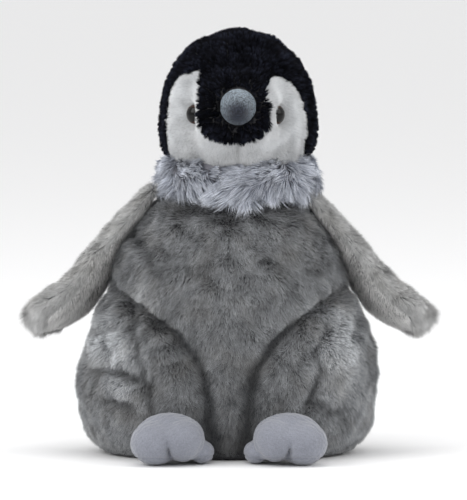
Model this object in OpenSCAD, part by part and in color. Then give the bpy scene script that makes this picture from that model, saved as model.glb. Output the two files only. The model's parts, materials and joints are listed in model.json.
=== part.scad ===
// Stuffed toy: a sitting penguin chick with a black hood, white cheeks, a long-pile neck ruff,
// two flippers, two toed feet and a short tail. It faces -Y and its left side is +X.

/* [Overall] */
// Height from the floor to the crown
total_h = 238; // [215:1:260]
// Width of the torso at the waist, without the haunches
waist_w = 128; // [120:1:134]
// Depth of the torso at the waist
waist_d = 112; // [106:1:118]
// How far the head leans towards the left side
head_lean = 5; // [0:0.5:5]
// Thickness of the backing cloth with the root of its pile
cloth_t = 2; // [1.6:0.1:2.4]

/* [Haunches] */
// How far a haunch stands out from the torso
haunch_bulge = 13; // [9:0.5:14]
// Half of the belly's angle between the haunches at the floor
knee_gap = 10; // [8:1:16]

/* [Head] */
// Width of the head
head_w = 83; // [78:1:88]
// Depth of the head without the snout
head_d = 78; // [74:1:82]
// How far the snout stands out from the face
snout_out = 19; // [14:1:22]
// Diameter of each eye
eye_d = 11; // [9:0.5:12]
// Diameter of the beak at its root
beak_d = 20; // [17:0.5:21]
// Length of the beak in front of the snout
beak_out = 17; // [12:1:22]

/* [Flippers] */
// Length of a flipper from its shoulder seam
wing_len = 89; // [78:1:95]
// Angle of a hanging flipper below the horizontal
wing_droop = 48; // [40:1:48]
// Breadth of a flipper, front edge to rear edge
wing_w = 48; // [40:1:52]

/* [Feet and tail] */
// Width of a foot across its toes
foot_w = 44; // [38:1:46]
// Length of a foot in front of the haunch
foot_len = 35; // [30:1:38]
// Length of the tail
tail_len = 20; // [14:1:24]

/* [Hidden] */

// Everything that isn't a driving size follows the height
k = total_h / 238;
sew_gap = 0.12;              // between pieces sewn to each other
free_gap = 0.4;              // between pieces that move against each other
seam_a = 0.12;               // half of the angle left open at a seam
$fn = 48;

// Torso: a barrel below the waist and half an egg above it
waist_z = 96 * k;
egg_h = 56 * k;              // from the waist to the top of the egg
barrel_swell = 0.08;         // how much wider the barrel is halfway down
rim_h = 15 * k;              // height of the rounding at the floor
rim_tuck = 0.1;              // how far that rounding pulls in
wall_z = cloth_t + 0.3;      // lower edge of the torso's wall
barrel_rows = 8;
egg_rows = 5;
haunch_cols = 10;
egg_angle = 64;              // latitude of the neck opening
body_rows = barrel_rows + egg_rows;
side_seam = 76;              // angle of the side seam above the haunches
haunch_back = 120;           // rear edge of a haunch at the floor
fill_inset = 3;              // stuffing inside the cloth
limb_inset = 0.3;            // stuffing inside the cloth of a limb
waist_gap = 0.18;            // half of the angle left for the tip of a haunch at the waist
seam_curve = 4.2;            // how late the front seam of a haunch swings outwards
haunch_low = 0.27;           // where the swelling of a haunch starts and ends
haunch_high = 0.98;
haunch_round = 0.75;         // how full the swelling is at its upper and lower ends

// Neck and head
nod_z = 160 * k;             // the neck bends about this height
neck_top = 165 * k;
ball_r = 20 * k;             // stuffed ball of the neck
ruff_r = 42 * k;
head_z = 190 * k;            // height of the widest part of the head
crown_h = total_h - head_z;
jowl_tuck = 0.13;
face_y = -2 * k;
chin_rows = 3;
cheek_rows = 8;
head_rows = 14;
head_inset = 3;              // stuffing inside the cloth of the head
chin_z = 180 * k;            // lower tip of the black blaze
temple_z = 218 * k;          // upper tip of a white cheek
blaze_a = 33;                // half angle of the blaze at the temples
cheek_a = 70;                // rear edge of a cheek
snout_z = 192 * k;
snout_a = 40;                // half angle covered by the snout
snout_h = 25 * k;            // half height covered by the snout
eye_a = 36;                  // where an eye sits round the head
eye_z = 191 * k;
eye_sink = 1.2;
eye_look = 42;               // direction in which an eye looks
shank_r = 1.6;
shank_len = 9;
washer_r = 6;
washer_t = 1.1;
washer_at = 4.6;             // how far behind the dome the washer sits
eye_gap = 0.15;              // between an eye and what it sits in
beak_z = 197 * k;
beak_sink = 6 * k;           // root of the beak inside the snout
beak_tip_r = 3 * k;
beak_cloth = 1;

// Limbs
shoulder = [(0.4 * waist_w - 1.6) * k, 0, 139 * k];
wing_root_r = 2.8 * k;
wing_mid_r = 7.2 * k;
wing_cloth = 1.2;
thick_at = 0.75;             // part of a flap's length after which it has its full thickness
wide_at = 0.8;               // the same for its width
tip_thick = 0.5;             // thickness and width of a flap's tip against its middle
tip_wide = 0.25;
ankle_x = 28 * k;
ankle_y = -(waist_d / 2 + haunch_bulge - 8) * k;
ankle_z = 27 * k;
toe_out = 12;                // each foot is turned out by this angle
foot_cloth = 1.3;
sole_t = 1.5;
notch = 0.13;                // depth of the notches between the toes
notch_a = 252;
notch_b = 291;
notch_w = 8;
instep_f = 0.62;             // height over the toes against the height at the ankle
tail_root = [0, (waist_d / 2 + 7.3) * k, 19 * k];
tail_droop = 26;

// Bag of pellets that weights the seat
bag_r = 37 * k;
bag_z = 19 * k;
bag_h = 11 * k;
bag_t = 0.8;

function lerp(a, b, f) = a + (b - a) * f;
function rise(x) = max(0, min(1, x));
function hump(x) = sqrt(max(0, sin(180 * rise(x))));
function wave(x, mid, spread) = exp(-pow((x - mid) / spread, 2));

// ---- Solids from surfaces ------------------------------------------------------------------

function strip(a, b, wrap_n) = [
    for (i = [0 : wrap_n - 1]) each [[a(i), a(i + 1), b(i + 1)], [a(i), b(i + 1), b(i)]]
];

// Cloth between two surfaces; each takes a column and a row and gives a point
module cloth(inner, outer, cols, row0, row1, closed = false) {
    rows = row1 - row0;
    m = closed ? cols : cols + 1;
    count = m * (rows + 1);
    grid = function (f) [for (j = [row0 : row1]) for (i = [0 : m - 1]) f(i, j)];
    id = function (i, j, layer) layer * count + j * m + i % m;
    skin = function (layer) [
        for (j = [0 : rows - 1]) for (i = [0 : cols - 1]) each [
            [id(i, j, layer), id(i, j + 1, layer), id(i + 1, j + 1, layer)],
            [id(i, j, layer), id(i + 1, j + 1, layer), id(i + 1, j, layer)]
        ]
    ];
    turned = [for (f = skin(1)) [f[2], f[1], f[0]]];
    low = strip(function (i) id(i, 0, 0), function (i) id(i, 0, 1), cols);
    high = strip(function (i) id(i, rows, 1), function (i) id(i, rows, 0), cols);
    left = strip(function (j) id(0, j, 1), function (j) id(0, j, 0), rows);
    right = strip(function (j) id(cols, j, 0), function (j) id(cols, j, 1), rows);
    sides = closed ? [] : concat(left, right);
    polyhedron(concat(grid(outer), grid(inner)), concat(skin(0), turned, low, high, sides));
}

// Stuffing inside one closed surface, with a flat cap at each end
module stuffing(point_at, cols, rows) {
    ring = function (j) [for (i = [0 : cols - 1]) point_at(i, j)];
    halfway = function (values) (min(values) + max(values)) / 2;
    middle = function (pts) [for (axis = [0 : 2]) halfway([for (p = pts) p[axis]])];
    id = function (i, j) j * cols + i % cols;
    low = cols * (rows + 1);
    skin = [
        for (j = [0 : rows - 1]) for (i = [0 : cols - 1]) each [
            [id(i, j), id(i, j + 1), id(i + 1, j + 1)],
            [id(i, j), id(i + 1, j + 1), id(i + 1, j)]
        ]
    ];
    floor_cap = [for (i = [0 : cols - 1]) [id(i, 0), id(i + 1, 0), low]];
    top_cap = [for (i = [0 : cols - 1]) [id(i + 1, rows), id(i, rows), low + 1]];
    points = [for (j = [0 : rows]) each ring(j)];
    polyhedron(concat(points, [middle(ring(0)), middle(ring(rows))]), concat(skin, floor_cap, top_cap));
}

// ---- Torso ---------------------------------------------------------------------------------

function barrel_z(j) = lerp(wall_z, waist_z, j / barrel_rows);
function barrel_f(z) = (1 + barrel_swell * sin(180 * (1 - z / waist_z)))
    * (1 - rim_tuck * pow(1 - rise(z / rim_h), 2));
function egg_lat(j) = egg_angle * (j - barrel_rows) / egg_rows;
function row_f(j) = j <= barrel_rows ? barrel_f(barrel_z(j)) : cos(egg_lat(j));
function row_z(j, off) = j <= barrel_rows ? barrel_z(j) : waist_z + (egg_h + off) * sin(egg_lat(j));

// Angle 0 is the front, 90 is the left side
function torso(a, j, off) = [
    (waist_w / 2 * k + off) * row_f(j) * sin(a),
    -(waist_d / 2 * k + off) * row_f(j) * cos(a),
    row_z(j, off)
];

function haunch_q(j) = rise(j / barrel_rows);
function seam_front(j) = lerp(knee_gap, side_seam - waist_gap, pow(haunch_q(j), seam_curve));
function seam_back(j) = j >= barrel_rows
    ? side_seam + waist_gap
    : lerp(haunch_back, side_seam + 7, pow(haunch_q(j), 4));
function haunch_swell(q) = pow(sin(180 * lerp(haunch_low, haunch_high, q)), haunch_round);
function haunch_off(s, j) = haunch_bulge * k * hump(s) * haunch_swell(haunch_q(j));
function haunch_a(s, j) = lerp(seam_front(j) + seam_a, seam_back(j) - seam_a, s);

module belly_panel() {
    cols = 14;
    edge = function (i, j) lerp(-1, 1, i / cols) * (seam_front(j) - seam_a);
    color("gray") cloth(
        function (i, j) torso(edge(i, j), j, -cloth_t),
        function (i, j) torso(edge(i, j), j, 0),
        cols, 0, body_rows
    );
}

module back_panel() {
    cols = 8;
    edge = function (i, j) lerp(seam_back(j) + seam_a, 180 - seam_a, i / cols);
    color("dimgray") cloth(
        function (i, j) torso(edge(i, j), j, -cloth_t),
        function (i, j) torso(edge(i, j), j, 0),
        cols, 0, body_rows
    );
}

module haunch_panel() {
    cols = haunch_cols;
    color("darkgray") cloth(
        function (i, j) torso(haunch_a(i / cols, j), j, haunch_off(i / cols, j) - cloth_t),
        function (i, j) torso(haunch_a(i / cols, j), j, haunch_off(i / cols, j)),
        cols, 0, barrel_rows
    );
}

module haunch_fill() {
    cols = haunch_cols - 2;
    s = function (i) (i + 1) / haunch_cols;
    under = -cloth_t - limb_inset - 0.2;
    color("white") cloth(
        function (i, j) torso(haunch_a(s(i), j), j, under),
        function (i, j) torso(haunch_a(s(i), j), j, under + max(0.5, haunch_off(s(i), j) - 0.3)),
        cols, 0, barrel_rows - 1
    );
}

module base_panel() {
    from_front = function (a) a > 180 ? 360 - a : a;
    part_way = function (a) (from_front(a) - seam_front(0)) / (seam_back(0) - seam_front(0));
    color("gray") linear_extrude(cloth_t) polygon(
        [for (a = [0 : 7.5 : 359]) let (p = torso(a, 0, haunch_off(part_way(a), 0))) [p.x, p.y]]
    );
}

module bag_solid(grow) {
    translate([0, 0, bag_z]) rotate_extrude() polygon([
        for (a = [-90 : 15 : 90]) [(bag_r + grow) * pow(max(0, cos(a)), 0.6), (bag_h + grow) * sin(a)]
    ]);
}

module pellet_bag() {
    color("ivory") difference() {
        bag_solid(0);
        bag_solid(-bag_t);
    }
}

module pellet_fill() {
    color("white") bag_solid(-bag_t - sew_gap);
}

module body_fill() {
    cols = 36;
    off = -cloth_t - fill_inset;
    color("white") difference() {
        stuffing(function (i, j) torso(360 * i / cols, j, off), cols, body_rows);
        bag_solid(sew_gap);
        at_neck() sphere(ball_r + free_gap);
    }
}

module closing_thread() {
    first_row = 2;
    last_row = 6;
    per_row = 3;
    thread_r = 0.35;
    reach = 1.6;
    color("dimgray") for (n = [first_row * per_row : last_row * per_row]) {
        j = floor(n / per_row);
        f = n / per_row - j;
        p = lerp(torso(180, j, 0), torso(180, j + 1, 0), f);
        at_stitch = p + [-reach, thread_r + 0.1, 0];
        translate(at_stitch) rotate([0, 90, 0]) cylinder(r = thread_r, h = 2 * reach, $fn = 16);
    }
}

module care_label() {
    label_w = 9;
    label_len = 17;
    ply = 0.4;
    slope = 24;
    p = torso(-148, 1, 0);
    color("white") translate(p * 1.01) rotate([0, 0, 122]) rotate([0, slope, 0])
        translate([0.8, label_w / 2, 0]) rotate([90, 0, 0]) linear_extrude(label_w) difference() {
            square([label_len, 3 * ply]);
            translate([-ply, ply]) square([label_len, ply]);
        }
}

// ---- Neck ----------------------------------------------------------------------------------

module at_neck() {
    translate([head_lean * k, 0, nod_z]) children();
}

module neck_fill() {
    cut = asin((neck_top - nod_z) / ball_r);
    color("white") at_neck() rotate_extrude() polygon(concat(
        [for (a = [-90 : 10 : 0]) [ball_r * cos(a), ball_r * sin(a)]],
        [[ball_r * cos(cut), ball_r * sin(cut)], [0, ball_r * sin(cut)]]
    ));
}

module neck_ruff() {
    r0 = ball_r + sew_gap;
    color("silver") at_neck() rotate_extrude() polygon([
        [r0, neck_top - nod_z], [r0, -4.5 * k], [30 * k, -7 * k], [38.5 * k, -12 * k],
        [ruff_r - 1 * k, -13 * k], [ruff_r, -10 * k], [ruff_r - 1.5 * k, -2 * k],
        [37 * k, neck_top - nod_z]
    ]);
}

// ---- Head ----------------------------------------------------------------------------------

function head_lat(j) = 90 * (j - chin_rows) / (head_rows - chin_rows) - (j == head_rows ? 1.2 : 0);
function head_row_z(j, off) = j < chin_rows
    ? lerp(neck_top + free_gap, head_z, j / chin_rows)
    : head_z + (crown_h + off) * sin(head_lat(j));
function head_row_f(j) = j < chin_rows
    ? 1 - jowl_tuck * pow(1 - j / chin_rows, 2)
    : cos(head_lat(j));
function snout(a, z) = let (q = 1 - pow(a / snout_a, 2) - pow((z - snout_z) / snout_h, 2))
    q <= 0 ? 0 : snout_out * k * pow(q, 0.8);

function head(a, j, off) = let (out = snout(abs(a) > 180 ? 360 - abs(a) : a, head_row_z(j, 0))) [
    head_lean * k + (head_w / 2 * k + off) * head_row_f(j) * sin(a) + out * sin(a),
    face_y - (head_d / 2 * k + off) * head_row_f(j) * cos(a) - out * cos(a),
    head_row_z(j, off)
];

function blaze_edge(j) = let (z = head_row_z(j, 0))
    j >= cheek_rows ? blaze_a : lerp(1.5, blaze_a, pow(rise((z - chin_z) / (temple_z - chin_z)), 0.6));
function cheek_inner(j) = j < chin_rows - 2 ? seam_a : blaze_edge(j) + seam_a;
function cheek_outer(j) = j > cheek_rows ? blaze_a : lerp(cheek_a, blaze_a + 4,
    pow(rise((head_row_z(j, 0) - head_z - 5 * k) / (temple_z - head_z - 5 * k)), 1.6));

module face_blaze() {
    cols = 10;
    edge = function (i, j) lerp(-1, 1, i / cols) * (blaze_edge(j) - seam_a);
    color("black") difference() {
        cloth(
            function (i, j) head(edge(i, j), j, -cloth_t),
            function (i, j) head(edge(i, j), j, 0),
            cols, chin_rows - 2, head_rows
        );
        beak_cut();
    }
}

module cheek() {
    cols = 7;
    edge = function (i, j) lerp(cheek_inner(j), cheek_outer(j) - seam_a, i / cols);
    color("white") difference() {
        cloth(
            function (i, j) head(edge(i, j), j, -cloth_t),
            function (i, j) head(edge(i, j), j, 0),
            cols, 0, cheek_rows
        );
        eye_cut();
    }
}

module hood() {
    cols = 9;
    edge = function (i, j) lerp(cheek_outer(j) + seam_a, 180 - seam_a, i / cols);
    color("black") cloth(
        function (i, j) head(edge(i, j), j, -cloth_t),
        function (i, j) head(edge(i, j), j, 0),
        cols, 0, head_rows
    );
}

module head_fill() {
    cols = 40;
    off = -cloth_t - head_inset;
    color("white") difference() {
        stuffing(function (i, j) head(360 * i / cols, j, off), cols, head_rows);
        beak_cut();
        eye_cut();
        other_side() eye_cut();
    }
}

// Mirrors a piece of the head about the head's own middle
module other_side() {
    translate([2 * head_lean * k, 0, 0]) mirror([1, 0, 0]) children();
}

module at_eye() {
    p = [
        head_lean * k + head_w / 2 * k * sin(eye_a),
        face_y - head_d / 2 * k * cos(eye_a) - snout(eye_a, eye_z) * 0.6,
        eye_z
    ];
    translate(p) rotate([90, 0, eye_look]) translate([0, 0, -eye_sink]) children();
}

module eye_cut() {
    at_eye() {
        cylinder(r = eye_d / 2 + eye_gap, h = 14);
        translate([0, 0, -shank_len - 1]) cylinder(r = shank_r + eye_gap, h = shank_len + 1.1);
        translate([0, 0, -washer_at - eye_gap]) cylinder(r = washer_r + eye_gap, h = washer_t + 2 * eye_gap);
    }
}

module eye() {
    dome_h = 0.36 * eye_d;
    rim = 0.7;
    color("saddlebrown") at_eye() {
        translate([0, 0, -shank_len]) cylinder(r = shank_r, h = shank_len + 0.1);
        rotate_extrude() polygon(concat(
            [[0, 0], [eye_d / 2, 0], [eye_d / 2, rim]],
            [for (a = [10 : 10 : 90]) [eye_d / 2 * cos(a), rim + (dome_h - rim) * sin(a)]]
        ));
    }
}

module eye_washer() {
    color("white") at_eye() translate([0, 0, -washer_at]) difference() {
        cylinder(r = washer_r, h = washer_t);
        translate([0, 0, -1]) cylinder(r = shank_r + 0.1, h = washer_t + 2);
    }
}

function beak_front() = face_y - head_d / 2 * k * cos(asin((beak_z - head_z) / crown_h)) - snout(0, beak_z);

module at_beak() {
    translate([head_lean * k, beak_front() + beak_sink, beak_z]) rotate([90, 0, 0]) children();
}

module beak_cut() {
    at_beak() translate([0, 0, -0.3]) cylinder(r = beak_d / 2 + 0.2, h = beak_sink + 30);
}

// Half of the beak's section, from its root to its rounded tip
function beak_section(inset) = let (len = beak_sink + beak_out, r = beak_d / 2, tip = beak_tip_r) concat(
    [[0, inset], [r - inset, inset]],
    [for (f = [0.25 : 0.25 : 0.75]) [lerp(r, tip, pow(f, 1.25)) - inset, (len - tip) * f]],
    [for (a = [0 : 18 : 90]) [(tip - inset) * cos(a), len - tip + (tip - inset) * sin(a)]]
);

module beak_half() {
    color("lightslategray") at_beak() rotate([0, 0, 0.6]) difference() {
        rotate_extrude(angle = 178.8) polygon(beak_section(0));
        translate([0, 0, -0.1]) rotate_extrude() polygon(beak_section(beak_cloth));
    }
}

module beak_upper() {
    beak_half();
}

module beak_lower() {
    at_turned_beak() beak_half();
}

module at_turned_beak() {
    translate([2 * head_lean * k, 0, 2 * beak_z]) rotate([0, 180, 0]) children();
}

module beak_fill() {
    color("white") at_beak() translate([0, 0, 0.2]) rotate_extrude() polygon(beak_section(beak_cloth + 0.3));
}

// ---- Flippers and tail ---------------------------------------------------------------------

// A stuffed flap along +X: rows run along it, columns run round it
function flap_d(j, rows, len, r0) = lerp(-0.93 * r0, len, j / rows);
function tip_f(d, len, tip) = d < len - tip ? 1 : sqrt(max(0, 1 - pow((d - len + tip) / (tip * 1.03), 2)));
function flap_r(d, len, r0, r1, tip) = d < 0
    ? sqrt(r0 * r0 - d * d)
    : lerp(r0, r1, sin(90 * rise(d / len / thick_at))) * lerp(tip_thick, 1, tip_f(d, len, tip));
function flap_w(d, len, w0, w1, tip) = lerp(w0, w1, sin(90 * rise(d / len / wide_at)))
    * lerp(tip_wide, 1, tip_f(d, len, tip));

// size = [length, root radius, middle radius, root half width, half width, tip, sideways bend]
function flap(a, j, rows, size, off) = let (
    d = flap_d(j, rows, size[0], size[1]),
    r = max(0.25, flap_r(d, size[0], size[1], size[2], size[5]) + off),
    w = flap_w(d, size[0], size[3], size[4], size[5]) + off,
    sway = -size[6] * sin(180 * pow(rise(d / size[0]), 1.6))
) [
    d,
    w * sign(cos(a)) * pow(abs(cos(a)), 0.8),
    r * sign(sin(a)) * pow(abs(sin(a)), 0.8) + sway
];

module flap_cloth(size, rows, from, to, t) {
    cols = 6;
    edge = function (i) lerp(from + 0.5, to - 0.5, i / cols);
    cloth(
        function (i, j) flap(edge(i), j, rows, size, -t),
        function (i, j) flap(edge(i), j, rows, size, 0),
        cols, 0, rows
    );
}

module flap_fill(size, rows, t) {
    cols = 12;
    stuffing(function (i, j) flap(360 * i / cols, j, rows, size, -t - limb_inset), cols, rows);
}

wing_size = [wing_len * k, wing_root_r, wing_mid_r, 0.4 * wing_w * k, wing_w / 2 * k, 16 * k, 3.5 * k];
wing_rows = 10;
tail_size = [tail_len * k, 3.6 * k, 5 * k, 17 * k, 14 * k, 10 * k, 0];
tail_rows = 5;

module at_shoulder() {
    translate(shoulder) rotate([0, wing_droop, 0]) children();
}

module wing_outer() {
    color("darkgray") at_shoulder() flap_cloth(wing_size, wing_rows, 0, 180, wing_cloth);
}

module wing_inner() {
    color("gainsboro") at_shoulder() flap_cloth(wing_size, wing_rows, 180, 360, wing_cloth);
}

module wing_fill() {
    color("white") at_shoulder() flap_fill(wing_size, wing_rows, wing_cloth);
}

module at_tail() {
    translate(tail_root) rotate([0, 0, 90]) rotate([0, tail_droop, 0]) children();
}

module tail_upper() {
    color("dimgray") at_tail() flap_cloth(tail_size, tail_rows, 0, 180, wing_cloth);
}

module tail_lower() {
    color("gray") at_tail() flap_cloth(tail_size, tail_rows, 180, 360, wing_cloth);
}

module tail_fill() {
    color("white") at_tail() flap_fill(tail_size, tail_rows, wing_cloth);
}

// ---- Feet ----------------------------------------------------------------------------------

function toes(a) = 1 - notch * (wave(a, notch_a, notch_w) + wave(a, notch_b, notch_w));
function foot(a, q, off) = let (
    lat = 86 * q,
    rx = (foot_w / 2 * k + off) * pow(cos(lat), 0.8) * toes(a),
    ry = (foot_len / 2 * k + off) * pow(cos(lat), 0.8) * toes(a),
    y = -foot_len / 2 * k + ry * sin(a),
    h = (ankle_z + 1 * k - sole_t + off) * lerp(1, instep_f, rise(-y / (foot_len * k)))
) [rx * cos(a), y, sole_t + sew_gap + h * sin(lat) - ankle_z];

foot_cols = 28;
foot_rows = 5;

module at_ankle() {
    translate([ankle_x, ankle_y, ankle_z]) rotate([0, 0, toe_out]) children();
}

module foot_upper() {
    color("lightslategray") at_ankle() cloth(
        function (i, j) foot(360 * i / foot_cols, j / foot_rows, -foot_cloth),
        function (i, j) foot(360 * i / foot_cols, j / foot_rows, 0),
        foot_cols, 0, foot_rows, true
    );
}

module foot_fill() {
    color("white") at_ankle() stuffing(
        function (i, j) foot(360 * i / foot_cols, j / foot_rows, -foot_cloth - limb_inset),
        foot_cols, foot_rows
    );
}

module foot_sole() {
    color("slategray") at_ankle() translate([0, 0, -ankle_z]) linear_extrude(sole_t) polygon(
        [for (i = [0 : foot_cols - 1]) let (p = foot(360 * i / foot_cols, 0, 0)) [p.x, p.y]]
    );
}

// ---- Nodes ---------------------------------------------------------------------------------

module right_side() {
    mirror([1, 0, 0]) children();
}

belly_panel();
back_panel();  // back_panel_left
right_side() back_panel();  // back_panel_right
base_panel();
haunch_panel();  // haunch_panel_left
right_side() haunch_panel();  // haunch_panel_right
haunch_fill();  // haunch_fill_left
right_side() haunch_fill();  // haunch_fill_right
body_fill();
pellet_bag();
pellet_fill();
closing_thread();
care_label();
neck_ruff();
neck_fill();
hood();  // hood_left
other_side() hood();  // hood_right
face_blaze();
cheek();  // cheek_left
other_side() cheek();  // cheek_right
head_fill();
beak_upper();
beak_lower();
beak_fill();
eye();  // eye_left
other_side() eye();  // eye_right
eye_washer();  // eye_washer_left
other_side() eye_washer();  // eye_washer_right
wing_outer();  // wing_left_outer
wing_inner();  // wing_left_inner
wing_fill();  // wing_left_fill
right_side() wing_outer();  // wing_right_outer
right_side() wing_inner();  // wing_right_inner
right_side() wing_fill();  // wing_right_fill
foot_upper();  // foot_left_upper
foot_sole();  // foot_left_sole
foot_fill();  // foot_left_fill
right_side() foot_upper();  // foot_right_upper
right_side() foot_sole();  // foot_right_sole
right_side() foot_fill();  // foot_right_fill
tail_upper();
tail_lower();
tail_fill();
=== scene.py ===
"""A sitting plush penguin chick: stuffed cloth forms, their pile, eyes, beak and feet."""

import json
import logging
import math
from dataclasses import dataclass, field
from enum import Enum
from functools import cache
from typing import Callable, Sequence

import bpy
import numpy as np
from mathutils import Matrix, Vector


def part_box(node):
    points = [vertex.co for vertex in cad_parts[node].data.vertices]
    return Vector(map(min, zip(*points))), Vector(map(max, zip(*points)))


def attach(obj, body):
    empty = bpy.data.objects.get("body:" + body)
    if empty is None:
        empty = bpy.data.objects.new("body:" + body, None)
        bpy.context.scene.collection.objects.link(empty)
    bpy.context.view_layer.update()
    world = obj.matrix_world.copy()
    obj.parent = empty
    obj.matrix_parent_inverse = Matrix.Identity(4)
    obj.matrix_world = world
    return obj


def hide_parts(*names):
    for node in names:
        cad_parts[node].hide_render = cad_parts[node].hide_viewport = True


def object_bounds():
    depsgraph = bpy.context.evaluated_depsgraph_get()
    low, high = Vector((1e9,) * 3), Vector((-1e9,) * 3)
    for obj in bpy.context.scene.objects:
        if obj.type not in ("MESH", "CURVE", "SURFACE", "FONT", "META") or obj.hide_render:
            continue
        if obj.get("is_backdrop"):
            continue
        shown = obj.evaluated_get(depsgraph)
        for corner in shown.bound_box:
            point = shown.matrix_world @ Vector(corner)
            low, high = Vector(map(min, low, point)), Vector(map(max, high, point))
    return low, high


logging.basicConfig(level=logging.INFO, format="%(message)s")
LOG = logging.getLogger("penguin")
LOG.setLevel(logging.INFO)

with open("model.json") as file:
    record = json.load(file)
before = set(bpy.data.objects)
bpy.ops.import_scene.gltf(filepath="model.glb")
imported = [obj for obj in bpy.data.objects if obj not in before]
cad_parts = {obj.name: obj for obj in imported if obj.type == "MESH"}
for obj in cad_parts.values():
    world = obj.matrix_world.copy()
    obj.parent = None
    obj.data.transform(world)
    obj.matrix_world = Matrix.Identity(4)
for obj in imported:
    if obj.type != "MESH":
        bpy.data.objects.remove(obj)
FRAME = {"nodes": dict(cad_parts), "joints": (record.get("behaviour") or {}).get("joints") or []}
CAD_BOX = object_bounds()
MM = 0.001
Array = np.ndarray
Field = Callable[[Array], Array]
# Like Field, but also told the normals
SkinField = Callable[[Array, Array], Array]


class Side(Enum):
    """The toy's own sides, with the sign of X."""

    LEFT = 1.0
    RIGHT = -1.0

    @property
    def word(self) -> str:
        """The side as it stands in node names."""
        return self.name.lower()


# ---- Small helpers ---------------------------------------------------------------------------


def box_of(*nodes: str) -> tuple[Array, Array]:
    """The box round some CAD nodes.

    Args:
        nodes: names of CAD nodes.

    Returns:
        The lowest and the highest corner in metres.
    """
    corners = [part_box(n) for n in nodes]
    low = np.min([np.array(c[0]) for c in corners], axis=0)
    high = np.max([np.array(c[1]) for c in corners], axis=0)
    return low, high


def unit(v: Array) -> Array:
    """Each row of v at length one."""
    return v / np.maximum(np.linalg.norm(v, axis=-1, keepdims=True), 1e-12)


def smooth_step(x: Array, low: float, high: float) -> Array:
    """0 below low, 1 above high and a soft rise between them."""
    t = np.clip((x - low) / (high - low), 0.0, 1.0)
    return t * t * (3.0 - 2.0 * t)


def bell(x: Array, width: float) -> Array:
    """1 where x is nought, falling off softly on both sides."""
    return np.exp(-((x / width) ** 2))


def ripple(points: Array, size: float, seed: int, waves: int = 7) -> Array:
    """A smooth random field, made of a few sines in random directions.

    Args:
        points: places in metres, one row each.
        size: the usual distance between two swellings of the field, in metres.
        seed: which field.
        waves: how many sines are added.

    Returns:
        One value for each place, nearly all between -1 and 1.
    """
    rng = np.random.default_rng(seed)
    ways = unit(rng.normal(size=(waves, 3))) * (2 * math.pi / size)
    ways = ways * rng.uniform(0.55, 1.5, (waves, 1))
    phase = rng.uniform(0, 2 * math.pi, waves)
    return np.sin(points @ ways.T + phase).sum(axis=1) / math.sqrt(waves) * 0.8


def ripple_vector(points: Array, size: float, seed: int) -> Array:
    """Three ripples as a vector for each place."""
    return np.stack([ripple(points, size, seed + i) for i in range(3)], axis=1)


def distance_to_path(flat: Array, path: Sequence[tuple[float, float]]) -> Array:
    """How far each flat place lies from a path of straight stretches.

    Args:
        flat: places with two coordinates.
        path: the corners of the path, in the same coordinates.

    Returns:
        The distance of each place.
    """
    best = np.full(len(flat), 1e9)
    corners = np.array(path, float)
    for a, b in zip(corners[:-1], corners[1:]):
        way = b - a
        t = np.clip((flat - a) @ way / max(way @ way, 1e-12), 0, 1)
        best = np.minimum(best, np.linalg.norm(flat - (a + t[:, None] * way), axis=1))
    return best


def beak_box() -> tuple[Array, Array]:
    """The box round both halves of the beak."""
    return box_of("beak_upper", "beak_lower")


def joint_place(name: str) -> tuple[float, float, float]:
    """Where a joint of the frame sits."""
    return tuple(next(j for j in FRAME["joints"] if j["name"] == name)["pos_m"])


def only(obj: bpy.types.Object) -> bpy.types.Object:
    """Selects one object alone and makes it the active one."""
    bpy.ops.object.select_all(action="DESELECT")
    obj.select_set(True)
    bpy.context.view_layer.objects.active = obj
    return obj


def apply_all(obj: bpy.types.Object) -> None:
    """Applies every modifier of the object in order."""
    only(obj)
    for modifier in list(obj.modifiers):
        bpy.ops.object.modifier_apply(modifier=modifier.name)


def settle(obj: bpy.types.Object) -> bpy.types.Object:
    """Puts the object's place into its mesh."""
    only(obj)
    bpy.ops.object.transform_apply(location=True, rotation=True, scale=True)
    return obj


def join_all(parts: Sequence[bpy.types.Object]) -> bpy.types.Object:
    """Joins objects into the first of them."""
    bpy.ops.object.select_all(action="DESELECT")
    for part in parts:
        part.select_set(True)
    bpy.context.view_layer.objects.active = parts[0]
    if len(parts) > 1:
        bpy.ops.object.join()
    return bpy.context.view_layer.objects.active


def close_up(obj: bpy.types.Object, name: str, voxel: float) -> bpy.types.Modifier:
    """Adds a modifier that makes one closed skin of squares of the given size."""
    remesh = obj.modifiers.new(name, "REMESH")
    remesh.mode, remesh.voxel_size = "VOXEL", voxel
    return remesh


def ease(obj: bpy.types.Object, rounds: int) -> None:
    """Adds a modifier that smooths the mesh."""
    smooth = obj.modifiers.new("Ease", "SMOOTH")
    smooth.factor, smooth.iterations = 0.5, rounds


def edit_whole(obj: bpy.types.Object, *steps: Callable[[], object]) -> None:
    """Runs mesh operators in edit mode, with the whole mesh selected.

    Args:
        obj: the object to edit.
        steps: the operators' calls, run in order.
    """
    only(obj)
    bpy.ops.object.mode_set(mode="EDIT")
    bpy.ops.mesh.select_all(action="SELECT")
    for step in steps:
        step()
    bpy.ops.object.mode_set(mode="OBJECT")


def vertex_array(mesh: bpy.types.Mesh) -> Array:
    """The mesh's vertices, one row each."""
    flat = np.empty(len(mesh.vertices) * 3)
    mesh.vertices.foreach_get("co", flat)
    return flat.reshape(-1, 3)


def normal_array(mesh: bpy.types.Mesh) -> Array:
    """The mesh's vertex normals, one row each."""
    flat = np.empty(len(mesh.vertices) * 3)
    mesh.vertex_normals.foreach_get("vector", flat)
    return flat.reshape(-1, 3)


def move_vertices(mesh: bpy.types.Mesh, points: Array) -> None:
    """Puts the mesh's vertices at new places."""
    mesh.vertices.foreach_set("co", points.ravel())
    mesh.update()


# ---- Finishes --------------------------------------------------------------------------------

Colour = tuple[float, float, float]


def opaque(colour: Colour) -> tuple[float, float, float, float]:
    """The colour with full alpha."""
    return (*colour, 1.0)


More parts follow.
